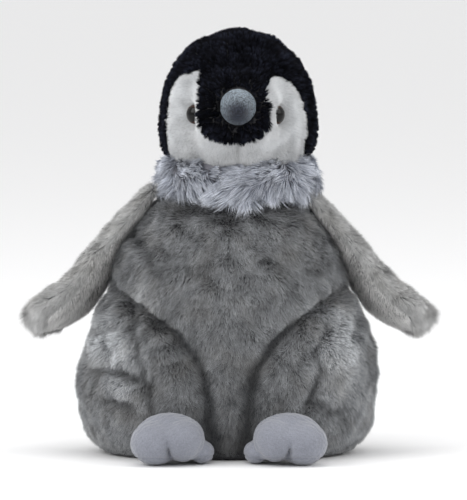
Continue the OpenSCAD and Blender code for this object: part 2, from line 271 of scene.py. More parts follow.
class NodeTree:
    """A short way to add and join shader nodes."""

    def __init__(self, tree: bpy.types.NodeTree) -> None:
        """Starts with an empty tree."""
        self.tree = tree
        tree.nodes.clear()

    def add(self, kind: str, **values: object) -> bpy.types.Node:
        """Adds a node and sets its properties."""
        node = self.tree.nodes.new(kind)
        for key, value in values.items():
            setattr(node, key, value)
        return node

    def join(self, source: bpy.types.NodeSocket, target: bpy.types.NodeSocket) -> None:
        """Joins two sockets."""
        self.tree.links.new(source, target)

    @staticmethod
    def fill(node: bpy.types.Node, **values: object) -> None:
        """Sets inputs by name, with an underscore for each space."""
        for label, value in values.items():
            node.inputs[label.replace("_", " ")].default_value = value

    def ramp(
        self, value: bpy.types.NodeSocket, smooth: bool = True, **ends: float
    ) -> bpy.types.NodeSocket:
        """A Map Range node's result.

        Args:
            value: the socket to map.
            smooth: a soft rise instead of a straight one.
            ends: the node's inputs From_Min, From_Max, To_Min and To_Max.

        Returns:
            The node's output.
        """
        kind = "SMOOTHSTEP" if smooth else "LINEAR"
        node = self.add("ShaderNodeMapRange", interpolation_type=kind)
        self.join(value, node.inputs["Value"])
        self.fill(node, **ends)
        return node.outputs[0]

    def vector(
        self, kind: str, a: bpy.types.NodeSocket, b: Sequence[float] | None = None
    ) -> bpy.types.Node:
        """A Vector Math node on a socket and a fixed vector."""
        node = self.add("ShaderNodeVectorMath", operation=kind)
        self.join(a, node.inputs[0])
        if b is not None:
            node.inputs[1].default_value = b
        return node

    def math(self, kind: str, *values: object) -> bpy.types.NodeSocket:
        """A Math node.

        Args:
            kind: the Math node's operation.
            values: the sockets or numbers that it works on.

        Returns:
            The node's output.
        """
        node = self.add("ShaderNodeMath", operation=kind)
        for socket, value in zip(node.inputs, values):
            if isinstance(value, bpy.types.NodeSocket):
                self.join(value, socket)
            else:
                socket.default_value = value
        return node.outputs[0]

    def mix(self, kind: str, factor: object, a: object, b: object) -> bpy.types.NodeSocket:
        """A Mix node on colours.

        Args:
            kind: the blend type.
            factor: socket or number.
            a: first socket or colour.
            b: second socket or colour.

        Returns:
            The mixed colour.
        """
        node = self.add("ShaderNodeMix", data_type="RGBA", blend_type=kind)
        for socket, value in zip((node.inputs[0], node.inputs[6], node.inputs[7]), (factor, a, b)):
            if isinstance(value, bpy.types.NodeSocket):
                self.join(value, socket)
            elif isinstance(value, tuple):
                socket.default_value = opaque(value)
            else:
                socket.default_value = value
        return node.outputs[2]

    def noise(
        self, where: bpy.types.NodeSocket, scale: object, detail: float = 2.0
    ) -> bpy.types.NodeSocket:
        """A Noise node's value at the given coordinates."""
        node = self.add("ShaderNodeTexNoise")
        node.inputs["Detail"].default_value = detail
        self.join(where, node.inputs["Vector"])
        if isinstance(scale, bpy.types.NodeSocket):
            self.join(scale, node.inputs["Scale"])
        else:
            node.inputs["Scale"].default_value = scale
        return node.outputs[0]


def new_group(
    name: str, inputs: Sequence[tuple[str, str, object]], outputs: Sequence[tuple[str, str]]
) -> tuple[NodeTree, bpy.types.Node, bpy.types.Node]:
    """Starts a shader node group.

    Args:
        name: the group's name.
        inputs: name, socket type and default value of each input.
        outputs: name and socket type of each output.

    Returns:
        The tree, its input node and its output node.
    """
    group = bpy.data.node_groups.new(name, "ShaderNodeTree")
    for label, kind, value in inputs:
        socket = group.interface.new_socket(label, in_out="INPUT", socket_type=kind)
        socket.default_value = value
    for label, kind in outputs:
        group.interface.new_socket(label, in_out="OUTPUT", socket_type=kind)
    tree = NodeTree(group)
    return tree, tree.add("NodeGroupInput"), tree.add("NodeGroupOutput")


@cache
def pile_group() -> bpy.types.NodeTree:
    """The look of dyed pile: dark at the root, partly dye and partly painted shade deep in the
    pile, frosted at the tip, in soft patches.
    """
    tree, source, result = new_group(
        "Frosted pile",
        [
            ("Root", "NodeSocketColor", (0.05, 0.05, 0.05, 1)),
            ("Middle", "NodeSocketColor", (0.2, 0.2, 0.2, 1)),
            ("Tip", "NodeSocketColor", (0.5, 0.5, 0.5, 1)),
            ("Tint", "NodeSocketColor", (0.3, 0.28, 0.24, 1)),
            ("Tint size", "NodeSocketFloat", 40.0),
        ],
        [("Color", "NodeSocketColor")],
    )
    along = tree.add("ShaderNodeAttribute", attribute_name="along").outputs["Fac"]
    tone = tree.add("ShaderNodeAttribute", attribute_name="tone").outputs["Fac"]
    # Root to middle; the dark root is partly painted shade deep in the pile
    lower = tree.ramp(along, From_Max=0.55)
    upper = tree.ramp(along, From_Min=0.45)
    body = tree.mix("MIX", lower, source.outputs["Root"], source.outputs["Middle"])
    frosted = tree.mix("MIX", tree.math("MULTIPLY", upper, tone), body, source.outputs["Tip"])
    where = tree.add("ShaderNodeTexCoord").outputs["Object"]
    drift = tree.noise(where, source.outputs["Tint size"], 3.0)
    warm = tree.ramp(drift, smooth=False, From_Min=0.48, From_Max=0.72, To_Max=0.55)
    tinted = tree.mix("MIX", warm, frosted, source.outputs["Tint"])
    kept = tree.mix("MIX", 0.45, frosted, tinted)
    # Each hair is made lighter or darker by its tone, which holds random tone and, on some pieces,
    # painted shade
    shade = tree.math("MULTIPLY_ADD", tone, 0.9, 0.42)
    grey = tree.add("ShaderNodeCombineColor")
    for socket in grey.inputs[:3]:
        tree.join(shade, socket)
    tree.join(tree.mix("MULTIPLY", 1.0, kept, grey.outputs[0]), result.inputs["Color"])
    return tree.tree


@cache
def weave_group() -> bpy.types.NodeTree:
    """Short nap on knitted cloth: a height for bump and a faint change of shade."""
    tree, source, result = new_group(
        "Knitted nap",
        [
            ("Base", "NodeSocketColor", (0.3, 0.3, 0.3, 1)),
            ("Shade", "NodeSocketColor", (0.2, 0.2, 0.2, 1)),
            ("Grain", "NodeSocketFloat", 900.0),
            ("Rows", "NodeSocketFloat", 1100.0),
        ],
        [("Color", "NodeSocketColor"), ("Height", "NodeSocketFloat")],
    )
    where = tree.add("ShaderNodeTexCoord").outputs["Object"]
    grain = tree.noise(where, source.outputs["Grain"], 3.0)
    cloud = tree.noise(where, 45.0, 3.0)
    cells = tree.add("ShaderNodeTexVoronoi", feature="F1")
    tree.join(where, cells.inputs["Vector"])
    tree.join(source.outputs["Rows"], cells.inputs["Scale"])
    pits = tree.math("MULTIPLY", cells.outputs["Distance"], -0.5)
    height = tree.math("ADD", tree.math("MULTIPLY", grain, 0.6), pits)
    tree.join(height, result.inputs["Height"])
    clouds = tree.math("MULTIPLY", cloud, 0.5)
    amount = tree.math("ADD", tree.math("MULTIPLY", grain, 0.7), clouds)
    spread = tree.ramp(amount, smooth=False, From_Min=0.42, From_Max=0.78)
    colour = tree.mix("MIX", spread, source.outputs["Shade"], source.outputs["Base"])
    tree.join(colour, result.inputs["Color"])
    return tree.tree


def new_material(name: str) -> tuple[bpy.types.Material, NodeTree, bpy.types.Node]:
    """A material with a Principled shader and its output.

    Returns:
        The material, its tree and the Principled node.
    """
    material = bpy.data.materials.new(name)
    material.use_nodes = True
    tree = NodeTree(material.node_tree)
    shader = tree.add("ShaderNodeBsdfPrincipled")
    output = tree.add("ShaderNodeOutputMaterial")
    tree.join(shader.outputs["BSDF"], output.inputs["Surface"])
    return material, tree, shader


@dataclass(frozen=True)
class PileFinish:
    """Dyed pile; its colour follows each hair from root to tip, and its dark root is partly
    painted shade.
    """

    name: str
    root: Colour
    middle: Colour
    tip: Colour
    tint: Colour
    tint_size: float = 60.0
    roughness: float = 0.7
    sheen: float = 0.15
    specular: float = 0.2

    @cache
    def material(self) -> bpy.types.Material:
        """Builds the material, or gives the one already built."""
        material, tree, shader = new_material(self.name)
        group = tree.add("ShaderNodeGroup", node_tree=pile_group())
        tree.fill(group, Root=opaque(self.root), Middle=opaque(self.middle), Tip=opaque(self.tip))
        tree.fill(group, Tint=opaque(self.tint), Tint_size=self.tint_size)
        tree.join(group.outputs["Color"], shader.inputs["Base Color"])
        tree.fill(shader, Roughness=self.roughness, Specular_IOR_Level=self.specular)
        tree.fill(shader, Sheen_Weight=self.sheen)
        return material


@dataclass(frozen=True)
class ClothFinish:
    """Knitted cloth with a short nap."""

    name: str
    base: Colour
    shade: Colour
    grain: float = 900.0
    rows: float = 1100.0
    bump: float = 0.25
    depth: float = 0.0003
    roughness: float = 0.85
    sheen: float = 0.35

    @cache
    def material(self) -> bpy.types.Material:
        """Builds the material, or gives the one already built."""
        material, tree, shader = new_material(self.name)
        group = tree.add("ShaderNodeGroup", node_tree=weave_group())
        tree.fill(group, Base=opaque(self.base), Shade=opaque(self.shade))
        tree.fill(group, Grain=self.grain, Rows=self.rows)
        tree.join(group.outputs["Color"], shader.inputs["Base Color"])
        bump = tree.add("ShaderNodeBump")
        tree.fill(bump, Strength=self.bump, Distance=self.depth)
        tree.join(group.outputs["Height"], bump.inputs["Height"])
        tree.join(bump.outputs["Normal"], shader.inputs["Normal"])
        tree.fill(shader, Roughness=self.roughness, Sheen_Weight=self.sheen)
        return material


@dataclass(frozen=True)
class BeakFinish:
    """Speckled, faintly shimmering velour, with painted shade darkening it towards the tip of the
    beak and a painted sheen on the lighter rim.
    """

    name: str
    centre: tuple[float, float, float]
    radius: float
    # The rim's speckle runs from dark to bright and is lighter as a painted sheen; tip colours the
    # dark middle, which is painted shade
    bright: Colour = (0.36, 0.43, 0.49)
    dark: Colour = (0.012, 0.015, 0.021)
    tip: Colour = (0.004, 0.005, 0.008)
    # How far the painted dark middle lies below the middle of the beak, so the top is painted
    # lighter as if lit from above, and where it begins and ends, in radii
    below: float = 2.2 * MM
    core: tuple[float, float] = (0.3, 1.25)
    grain: float = 1150.0
    sparkle: float = 6.0

    @cache
    def material(self) -> bpy.types.Material:
        """Builds the material, or gives the one already built."""
        material, tree, shader = new_material(self.name)
        where = tree.add("ShaderNodeTexCoord").outputs["Object"]
        x, y, z = self.centre
        away = tree.vector("SUBTRACT", where, (x, y, z - self.below))
        flat = tree.vector("MULTIPLY", away.outputs[0], (1, 0, 1))
        length = tree.vector("LENGTH", flat.outputs[0]).outputs["Value"]
        begin, end = (self.radius * share for share in self.core)
        # Painted shade in the dark middle towards the tip, and the painted sheen of the rim round
        # it
        core = tree.ramp(length, From_Min=begin, From_Max=end)
        grain = tree.noise(where, self.grain, 3.0)
        speckle = tree.ramp(grain, smooth=False, From_Min=0.38, From_Max=0.62)
        outer = tree.mix("MIX", speckle, self.dark, self.bright)
        inner = tree.mix("MIX", speckle, self.tip, tuple(c * self.sparkle for c in self.tip))
        tree.join(tree.mix("MIX", core, inner, outer), shader.inputs["Base Color"])
        tree.fill(shader, Roughness=0.55, Specular_IOR_Level=0.25, Sheen_Weight=0.03)
        return material


@dataclass(frozen=True)
class EyeFinish:
    """A brown iris and a black pupil under a clear glossy dome."""

    name: str
    centre: tuple[float, float, float]
    look: tuple[float, float, float]
    radius: float
    iris: Colour = (0.022, 0.009, 0.005)
    pupil: Colour = (0.002, 0.002, 0.002)
    # Where the pupil turns into the iris and the iris into the dark rim, in radii
    pupil_edge: tuple[float, float] = (0.7, 0.8)
    rim_edge: tuple[float, float] = (0.92, 1.0)

    def material(self) -> bpy.types.Material:
        """Builds the material: rings round the line in which the eye looks."""
        material, tree, shader = new_material(self.name)
        where = tree.add("ShaderNodeTexCoord").outputs["Object"]
        away = tree.vector("SUBTRACT", where, self.centre)
        cross = tree.vector("CROSS_PRODUCT", away.outputs[0], self.look)
        length = tree.vector("LENGTH", cross.outputs[0]).outputs["Value"]
        ring, rim = (
            tree.ramp(length, From_Min=self.radius * low, From_Max=self.radius * high)
            for low, high in (self.pupil_edge, self.rim_edge)
        )
        flecks = tree.noise(where, 1500.0, 3.0)
        brown = tree.mix("MIX", flecks, self.iris, tuple(c * 1.9 for c in self.iris))
        dark = tree.mix("MIX", rim, brown, self.pupil)
        tree.join(tree.mix("MIX", ring, self.pupil, dark), shader.inputs["Base Color"])
        tree.fill(shader, Roughness=0.05, Specular_IOR_Level=0.2)
        return material


@dataclass(frozen=True)
class PlainFinish:
    """A plain moulded or woven stuff inside the toy, with a fine grain."""

    name: str
    colour: Colour
    grain: float = 400.0
    roughness: float = 0.6

    def material(self) -> bpy.types.Material:
        """Builds the material."""
        material, tree, shader = new_material(self.name)
        where = tree.add("ShaderNodeTexCoord").outputs["Object"]
        grain = tree.noise(where, self.grain)
        colour = tree.mix("MIX", grain, tuple(c * 0.85 for c in self.colour), self.colour)
        tree.join(colour, shader.inputs["Base Color"])
        tree.fill(shader, Roughness=self.roughness)
        return material


# Each pile: the colours of its root (dark partly as painted shade deep in the pile), middle and
# tip, and the tint of its patches
BODY_PILE = PileFinish(
    "Frosted grey pile",
    (0.045, 0.047, 0.05), (0.27, 0.28, 0.293), (0.78, 0.8, 0.82), (0.36, 0.335, 0.3),
)
WING_PILE = PileFinish(
    "Frosted light grey pile",
    (0.23, 0.23, 0.232), (0.5, 0.502, 0.5), (0.88, 0.88, 0.875), (0.46, 0.43, 0.39),
)
LINING_PILE = PileFinish(
    "Pale short pile",
    (0.62, 0.61, 0.6), (0.88, 0.875, 0.865), (0.94, 0.935, 0.93), (0.88, 0.86, 0.84),
)
RUFF_PILE = PileFinish(
    "Silver ruff pile",
    (0.11, 0.118, 0.143), (0.36, 0.385, 0.447), (0.82, 0.85, 0.91), (0.43, 0.45, 0.52),
)
# The black pile's paler bluish tips are partly frost and partly painted sheen; the shader's own
# sheen is off
BLACK_PILE = PileFinish(
    "Black short pile",
    (0.0005, 0.0005, 0.001), (0.003, 0.0034, 0.006), (0.03, 0.034, 0.055), (0.004, 0.005, 0.009),
    sheen=0.0, specular=0.06,
)
WHITE_PILE = PileFinish(
    "White short pile",
    (0.42, 0.43, 0.44), (0.68, 0.695, 0.71), (0.78, 0.79, 0.8), (0.66, 0.66, 0.66),
    sheen=0.1,
)
# Each cloth: its colour and its shaded colour
GREY_BACKING = ClothFinish(
    "Grey backing cloth", (0.06, 0.062, 0.066), (0.03, 0.03, 0.034), sheen=0.1
)
RUFF_BACKING = ClothFinish(
    "Ruff backing cloth", (0.22, 0.22, 0.25), (0.14, 0.14, 0.16), sheen=0.1
)
BLACK_BACKING = ClothFinish(
    "Black backing cloth", (0.004, 0.004, 0.006), (0.002, 0.002, 0.003), sheen=0.05
)
WHITE_BACKING = ClothFinish(
    "White backing cloth", (0.62, 0.62, 0.63), (0.5, 0.5, 0.52), sheen=0.1
)
FOOT_SUEDE = ClothFinish(
    "Grey suede cloth", (0.25, 0.262, 0.305), (0.17, 0.178, 0.21),
    grain=1300.0, rows=3100.0, bump=0.4,
)


# ---- Stuffed cloth ---------------------------------------------------------------------------


@dataclass
class StuffedForm:
    """A closed, swollen cloth form made from the CAD solids that it stands for."""

    name: str
    nodes: tuple[str, ...]
    body: str
    finish: ClothFinish
    voxel: float
    pressure: float = 3.0
    swell_cap: float = 4 * MM
    fill: float = 0.8
    smoothing: int = 6
    steps: int = 20
    tension: float = 15.0
    bending: float = 0.5
    seams: Field | None = None
    shape: Callable[[bpy.types.Object], Array] | None = None

    def build(self) -> bpy.types.Object:
        """Returns:
            The finished piece.
        """
        obj = self.copy_solids()
        close_up(obj, "Close", self.voxel).use_smooth_shade = True
        ease(obj, self.smoothing)
        apply_all(obj)
        self.inflate(obj)
        if self.shape:
            move_vertices(obj.data, self.shape(obj))
        obj.data.materials.clear()
        obj.data.materials.append(self.finish.material())
        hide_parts(*self.nodes)
        return obj

    def copy_solids(self) -> bpy.types.Object:
        """One new object with copies of the CAD solids, merged."""
        copies = []
        for name in self.nodes:
            source = FRAME["nodes"][name]
            twin = bpy.data.objects.new(f"{name}_copy", source.data.copy())
            bpy.context.scene.collection.objects.link(twin)
            copies.append(twin)
        obj = join_all(copies)
        obj.name = self.name
        obj.data.name = self.name
        edit_whole(obj, lambda: bpy.ops.mesh.remove_doubles(threshold=1e-5))
        return obj

    def inflate(self, obj: bpy.types.Object) -> None:
        """Swells the form with cloth under pressure, held at its seams.

        Args:
            obj: the closed form.
        """
        start = vertex_array(obj.data)
        held = self.seams(start) if self.seams else np.zeros(len(start))
        group = obj.vertex_groups.new(name="held")
        for index in np.flatnonzero(held > 0.05):
            group.add([int(index)], float(min(held[index], 1.0)), "REPLACE")
        cloth = obj.modifiers.new("Swell", "CLOTH")
        settings = cloth.settings
        settings.quality = 5
        settings.use_pressure = True
        settings.uniform_pressure_force = self.pressure
        settings.vertex_group_mass = "held"
        settings.tension_stiffness = self.tension
        settings.bending_stiffness = self.bending
        settings.effector_weights.gravity = 0.0
        cloth.collision_settings.use_collision = False
        cloth.point_cache.frame_start, cloth.point_cache.frame_end = 1, self.steps
        for step in range(1, self.steps + 1):
            bpy.context.scene.frame_set(step)
        graph = bpy.context.evaluated_depsgraph_get()
        swollen = vertex_array(obj.evaluated_get(graph).data)
        obj.modifiers.remove(cloth)
        bpy.context.scene.frame_set(1)
        if len(swollen) != len(start):
            LOG.info("%s kept its shape: the cloth came back with another mesh", self.name)
            return
        move = np.nan_to_num(swollen - start)
        length = np.linalg.norm(move, axis=1, keepdims=True)
        move *= np.minimum(1.0, self.swell_cap / np.maximum(length, 1e-9))
        move_vertices(obj.data, start + move)


# ---- Pile ------------------------------------------------------------------------------------


@dataclass(frozen=True)
class Pile:
    """How one kind of pile grows."""

    length: float
    width: float
    per_cm2: float
    lean: float = 50.0
    bend: float = 18.0
    clump: float = 3.0 * MM
    gather: float = 0.45
    unrest: float = 0.22
    joints: int = 1
    curl: float = 0.0
    uneven: float = 0.25
    shortest: float = 0.55
    speckle: float = 0.07


class Coat:
    """The outside of a stuffed form, on which pile grows."""

    def __init__(self, obj: bpy.types.Object) -> None:
        """Reads the form's triangles, normals and areas."""
        mesh = obj.data
        mesh.calc_loop_triangles()
        corners = np.empty(len(mesh.loop_triangles) * 3, dtype=np.int64)
        mesh.loop_triangles.foreach_get("vertices", corners)
        self.tris = corners.reshape(-1, 3)
        self.points = vertex_array(mesh)
        self.normals = normal_array(mesh)
        a, b, c = (self.points[self.tris[:, i]] for i in range(3))
        self.areas = np.linalg.norm(np.cross(b - a, c - a), axis=1) / 2

    def scatter(self, per_cm2: float, rng: np.random.Generator) -> tuple[Array, Array]:
        """Random places all over the coat.

        Args:
            per_cm2: how many on a square centimetre.
            rng: the seeded source of chance.

        Returns:
            The places and the normals there.
        """
        count = int(self.areas.sum() * 1e4 * per_cm2)
        pick = np.searchsorted(np.cumsum(self.areas) / self.areas.sum(), rng.random(count))
        pick = np.minimum(pick, len(self.areas) - 1)
        u, v = rng.random(count), rng.random(count)
        flip = u + v > 1
        u[flip], v[flip] = 1 - u[flip], 1 - v[flip]
        weights = np.stack([1 - u - v, u, v], axis=1)[:, :, None]
        tri = self.tris[pick]
        places = (self.points[tri] * weights).sum(axis=1)
        return places, unit((self.normals[tri] * weights).sum(axis=1))


@dataclass
class PileJob:
    """Pile to grow on one panel of a coat."""

    name: str
    coat: Coat
    pile: Pile
    finish: PileFinish
    seed: int
    keep: SkinField
    comb: SkinField
    tone: Field
    length: Field | None = None

    def lay(self, node: str, body: str) -> None:
        """Args:
            node: the CAD panel that the pile stands for.
            body: the body that it rides on.
        """
        piece = self.grow()
        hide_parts(node)
        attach(piece, body)

    def grow(self) -> bpy.types.Object:
        """Grows the hairs as thin tapered ribbons.

        Returns:
            The finished piece, not yet riding on its body.
        """
        rng = np.random.default_rng(self.seed)
        pile = self.pile
        roots, normals = self.coat.scatter(pile.per_cm2, rng)
        kept = self.keep(roots, normals)
        roots, normals = roots[kept], normals[kept]
        count = len(roots)
        flow = self.comb(roots, normals)
        flow = unit(flow - (flow * normals).sum(axis=1, keepdims=True) * normals)
        flow = flow + ripple_vector(roots, 14 * MM, self.seed + 5) * pile.unrest
        flow = unit(flow + rng.normal(size=(count, 3)) * pile.unrest * 0.6)
        lean = pile.lean + 9 * ripple(roots, 11 * MM, self.seed + 9)
        lean = np.radians(lean + rng.normal(size=count) * 6)
        size = 1 - pile.uneven * rng.random(count) + 0.12 * ripple(roots, 9 * MM, self.seed + 2)
        size = pile.length * np.clip(size, pile.shortest, 1.2)
        if self.length is not None:
            size = size * self.length(roots)
        line = self.strand(roots - normals * 0.3 * MM, normals, flow, lean, size, rng)
        line = self.gather(roots, line, rng)
        facing = unit(normals + rng.normal(size=(count, 3)) * 0.25)
        across = unit(np.cross(line[:, -1] - line[:, 0], facing))
        tone = np.clip(self.tone(roots) + rng.normal(size=count) * pile.speckle, 0.0, 1.0)
        return self.ribbons(line, across, tone)

    def strand(
        self, roots: Array, normals: Array, flow: Array, lean: Array, size: Array,
        rng: np.random.Generator,
    ) -> Array:
        """The points along each hair, from root to tip.

        Args:
            roots: where the hairs start.
            normals: the cloth's normals there.
            flow: the way in which each hair is combed, along the cloth.
            lean: each hair's angle from the normal.
            size: each hair's length.
            rng: the seeded source of chance.

        Returns:
            For each hair the points in order.
        """
        pile = self.pile
        steps = pile.joints
        line = np.empty((len(roots), steps + 1, 3))
        line[:, 0] = roots
        swing = rng.uniform(0, 2 * math.pi, len(roots))
        side = np.cross(normals, flow)
        for i in range(steps):
            angle = lean + np.radians(pile.bend) * i / max(steps - 1, 1)
            way = normals * np.cos(angle)[:, None] + flow * np.sin(angle)[:, None]
            if pile.curl:
                way = way + side * (pile.curl * np.sin(swing + 2.2 * i))[:, None]
                way = way + normals * (pile.curl * 0.6 * np.cos(swing * 1.7 + 1.9 * i))[:, None]
            line[:, i + 1] = line[:, i] + unit(way) * (size / steps)[:, None]
        return line

    def gather(self, roots: Array, line: Array, rng: np.random.Generator) -> Array:
        """Draws the hairs of each small tuft together towards their tips."""
        pile = self.pile
        if pile.gather <= 0:
            return line
        shaken = roots + ripple_vector(roots, pile.clump * 2.3, self.seed + 21) * pile.clump * 0.5
        cell = np.floor(shaken / pile.clump).astype(np.int64)
        key = (cell[:, 0] * 73856093) ^ (cell[:, 1] * 19349663) ^ (cell[:, 2] * 83492791)
        _, tuft = np.unique(key, return_inverse=True)
        number = np.bincount(tuft).astype(float)[:, None]
        pull = pile.gather * rng.uniform(0.5, 1.0, len(number))
        for i in range(1, line.shape[1]):
            sums = [np.bincount(tuft, weights=line[:, i, axis]) for axis in range(3)]
            middle = np.stack(sums, axis=1) / number
            share = (pull * (i / (line.shape[1] - 1)) ** 1.3)[tuft][:, None]
            line[:, i] += (middle[tuft] - line[:, i]) * share
        return line

    def ribbons(self, line: Array, across: Array, tone: Array) -> bpy.types.Object:
        """Makes the mesh: each hair is a strip that ends in a point."""
        count, steps = line.shape[0], line.shape[1] - 1
        per_hair = 2 * steps + 1
        verts = np.empty((count, per_hair, 3))
        along = np.empty((count, per_hair))
        for i in range(steps):
            half = across * (self.pile.width / 2 * (1 - 0.55 * i / steps))
            verts[:, 2 * i] = line[:, i] - half
            verts[:, 2 * i + 1] = line[:, i] + half
            along[:, 2 * i : 2 * i + 2] = i / steps
        verts[:, -1] = line[:, -1]
        along[:, -1] = 1.0
        corners = [2 * i + step for i in range(steps - 1) for step in (0, 1, 3, 2)]
        corners = np.array(corners + [2 * steps - 2, 2 * steps - 1, 2 * steps])
        loops = (np.arange(count)[:, None] * per_hair + corners).ravel()
        starts = (np.arange(count)[:, None] * len(corners) + 4 * np.arange(steps)).ravel()
        mesh = bpy.data.meshes.new(self.name)
        mesh.vertices.add(count * per_hair)
        mesh.loops.add(len(loops))
        mesh.polygons.add(len(starts))
        mesh.vertices.foreach_set("co", verts.ravel())
        mesh.loops.foreach_set("vertex_index", loops.astype(np.int32))
        mesh.polygons.foreach_set("loop_start", starts.astype(np.int32))
        mesh.polygons.foreach_set("use_smooth", np.ones(len(starts), dtype=bool))
        mesh.update(calc_edges=True)
        for name, values in (("along", along.ravel()), ("tone", np.repeat(tone, per_hair))):
            attribute = mesh.attributes.new(name, "FLOAT", "POINT")
            attribute.data.foreach_set("value", values.astype(np.float32))
        # Every hair has its own small square of the map
        grid = math.ceil(math.sqrt(count))
        number = np.arange(count)
        cell = np.stack([number % grid, number // grid], axis=1).astype(float)
        left = np.array([0.15 if c % 2 == 0 else 0.85 for c in corners])
        left[-1] = 0.5
        up = 0.1 + 0.8 * along[0][corners]
        spots = (cell[:, None, :] + np.stack([left, up], axis=1)[None]) / grid
        layer = mesh.uv_layers.new(name="OFBake")
        layer.data.foreach_set("uv", spots.astype(np.float32).ravel())
        obj = bpy.data.objects.new(self.name, mesh)
        bpy.context.scene.collection.objects.link(obj)
        mesh.materials.append(self.finish.material())
        LOG.info("%s: %d hairs, %d triangles", self.name, count, count * (2 * steps - 1))
        return obj


# ---- Torso -----------------------------------------------------------------------------------


@dataclass(frozen=True)
class Fold:
    """A crease pressed into the cloth along a path on the front, in X and Z."""

    path: tuple[tuple[float, float], ...]
    depth: float
    width: float

    def weight(self, points: Array) -> Array:
        """1 on the crease and 0 away from it, on the front only."""
        near = bell(distance_to_path(points[:, [0, 2]] / MM, self.path), self.width)
        return near * smooth_step(-points[:, 1], -5 * MM, 12 * MM)


@dataclass
class Torso:
    """The barrel-shaped body with its two haunches, its seat and its grey pile."""

    waist_z: float = 96 * MM
    knee_gap: float = 10.0
    side_seam: float = 76.0
    haunch_back: float = 120.0
    crease_depth: float = 5.0 * MM
    crease_width: float = 5.0 * MM
    folds: tuple[Fold, ...] = (
        Fold(((-73, 70), (-64, 73), (-55, 74)), 2.2, 2.6),
        Fold(((-71, 50), (-62, 51.5), (-50, 47)), 4.2, 3.0),
        Fold(((-66, 34.5), (-60, 35), (-53, 32.5)), 3.2, 2.6),
        Fold(((-53, 87), (-50, 66), (-45, 45), (-39, 24)), 3.0, 2.6),
        Fold(((53, 75), (47.5, 62), (51, 51), (42.5, 34)), 3.6, 2.8),
        Fold(((42.5, 34), (52, 32), (60, 28)), 3.0, 2.6),
        Fold(((-50, 122), (-42, 113), (-38, 106)), 2.0, 3.0),
    )
    # Pale patches on the front, partly paler pile and partly painted light: X, Z, half width and
    # half height in mm, and how much paler
    pale_patches: tuple[tuple[float, float, float, float, float], ...] = (
        (-67, 63, 14, 14, 0.8), (-60, 42, 10, 7, 0.4), (-50, 88, 9, 12, 0.3),
        (59, 66, 13, 18, 0.85), (45, 82, 9, 9, 0.34), (62, 44, 14, 12, 0.3),
        (0, 128, 40, 16, 0.12), (-78, 20, 14, 20, 0.1), (78, 24, 12, 20, 0.12),
    )
    pile: Pile = Pile(
        length=5.6 * MM, width=0.3 * MM, per_cm2=880, lean=48, clump=2.2 * MM, gather=0.3,
        unrest=0.4, speckle=0.07,
    )
    # Between these heights the torso wears pile
    reach: tuple[float, float] = (3.0 * MM, 147 * MM)
    body: str = "torso"

    def angle(self, points: Array) -> Array:
        """Degrees round the torso from the front, without regard to side."""
        return np.degrees(np.abs(np.arctan2(points[:, 0], -points[:, 1])))

    def front_seam(self, z: Array) -> Array:
        """The angle of the crease between the belly and a haunch at each height."""
        q = np.clip(z / self.waist_z, 0, 1) ** 4.2
        return self.knee_gap + (self.side_seam - self.knee_gap) * q

    def rear_seam(self, z: Array) -> Array:
        """The angle of a haunch's rear edge at each height."""
        q = np.clip(z / self.waist_z, 0, 1) ** 4
        return self.haunch_back + (self.side_seam - self.haunch_back) * q

    def crease(self, points: Array) -> Array:
        """1 in the creases round the haunches, 0 away from them."""
        z, angle = points[:, 2], self.angle(points)
        radius = np.linalg.norm(points[:, :2], axis=1)
        low = smooth_step(-z, -self.waist_z - 4 * MM, -self.waist_z + 10 * MM)
        front, rear = (
            bell(np.radians(angle - seam) * radius, self.crease_width)
            for seam in (self.front_seam(z), self.rear_seam(z))
        )
        return np.maximum(front, 0.5 * rear) * low

    def fold_weight(self, points: Array) -> Array:
        """The strongest of the folds at each place."""
        return np.max([fold.weight(points) * fold.depth / 4.0 for fold in self.folds], axis=0)

    def seams(self, points: Array) -> Array:
        """How firmly the cloth is held at each place while it swells."""
        seat = smooth_step(-points[:, 2], -5 * MM, -2 * MM)
        neck = smooth_step(points[:, 2], 140 * MM, 146 * MM)
        folds = 0.8 * np.clip(self.fold_weight(points), 0, 1)
        return np.maximum.reduce([self.crease(points), folds, seat, neck])

    def shape(self, obj: bpy.types.Object) -> Array:
        """Presses the creases and the folds in and keeps the seat flat."""
        points, normals = vertex_array(obj.data), normal_array(obj.data)
        inwards = self.crease(points) * self.crease_depth
        for fold in self.folds:
            inwards = inwards + fold.weight(points) * fold.depth * MM
        inwards = inwards * smooth_step(points[:, 2], 4 * MM, 14 * MM)
        puff = 1.1 * MM * ripple(points, 34 * MM, 11) * smooth_step(points[:, 2], 10 * MM, 30 * MM)
        moved = points + normals * (puff - inwards)[:, None]
        moved[:, 2] = np.maximum(moved[:, 2], 0.4 * MM)
        slump = smooth_step(-points[:, 0], 30 * MM, 70 * MM)
        slump = slump * smooth_step(-points[:, 2], -62 * MM, -34 * MM)
        moved[:, 0] -= 2.4 * MM * slump
        return moved

    def tone(self, points: Array) -> Array:
        """How frosted the pile is: patchy, with painted shade in the creases and folds and low on
        the belly, and pale patches that are partly painted light.
        """
        patches = 0.44
        grains = ((0.06, 0.6, 13, 31), (0.06, 0.5, 5, 32), (0.07, 0.6, 2.4, 33))
        for share, tall, size, seed in grains:
            patches = patches + share * ripple(points * [1, 1, tall], size * MM, seed)
        # Painted shade low on the front of the belly
        low = smooth_step(-points[:, 2], -75 * MM, -8 * MM)
        low = low * bell(points[:, 0], 30 * MM) * (points[:, 1] < 0)
        # Pale patches: partly paler pile and partly painted light
        pale = np.zeros(len(points))
        for x, z, wide, high, gain in self.pale_patches:
            away = ((points[:, 0] / MM - x) / wide) ** 2 + ((points[:, 2] / MM - z) / high) ** 2
            pale = np.maximum(pale, gain * np.exp(-away) * (points[:, 1] < 20 * MM))
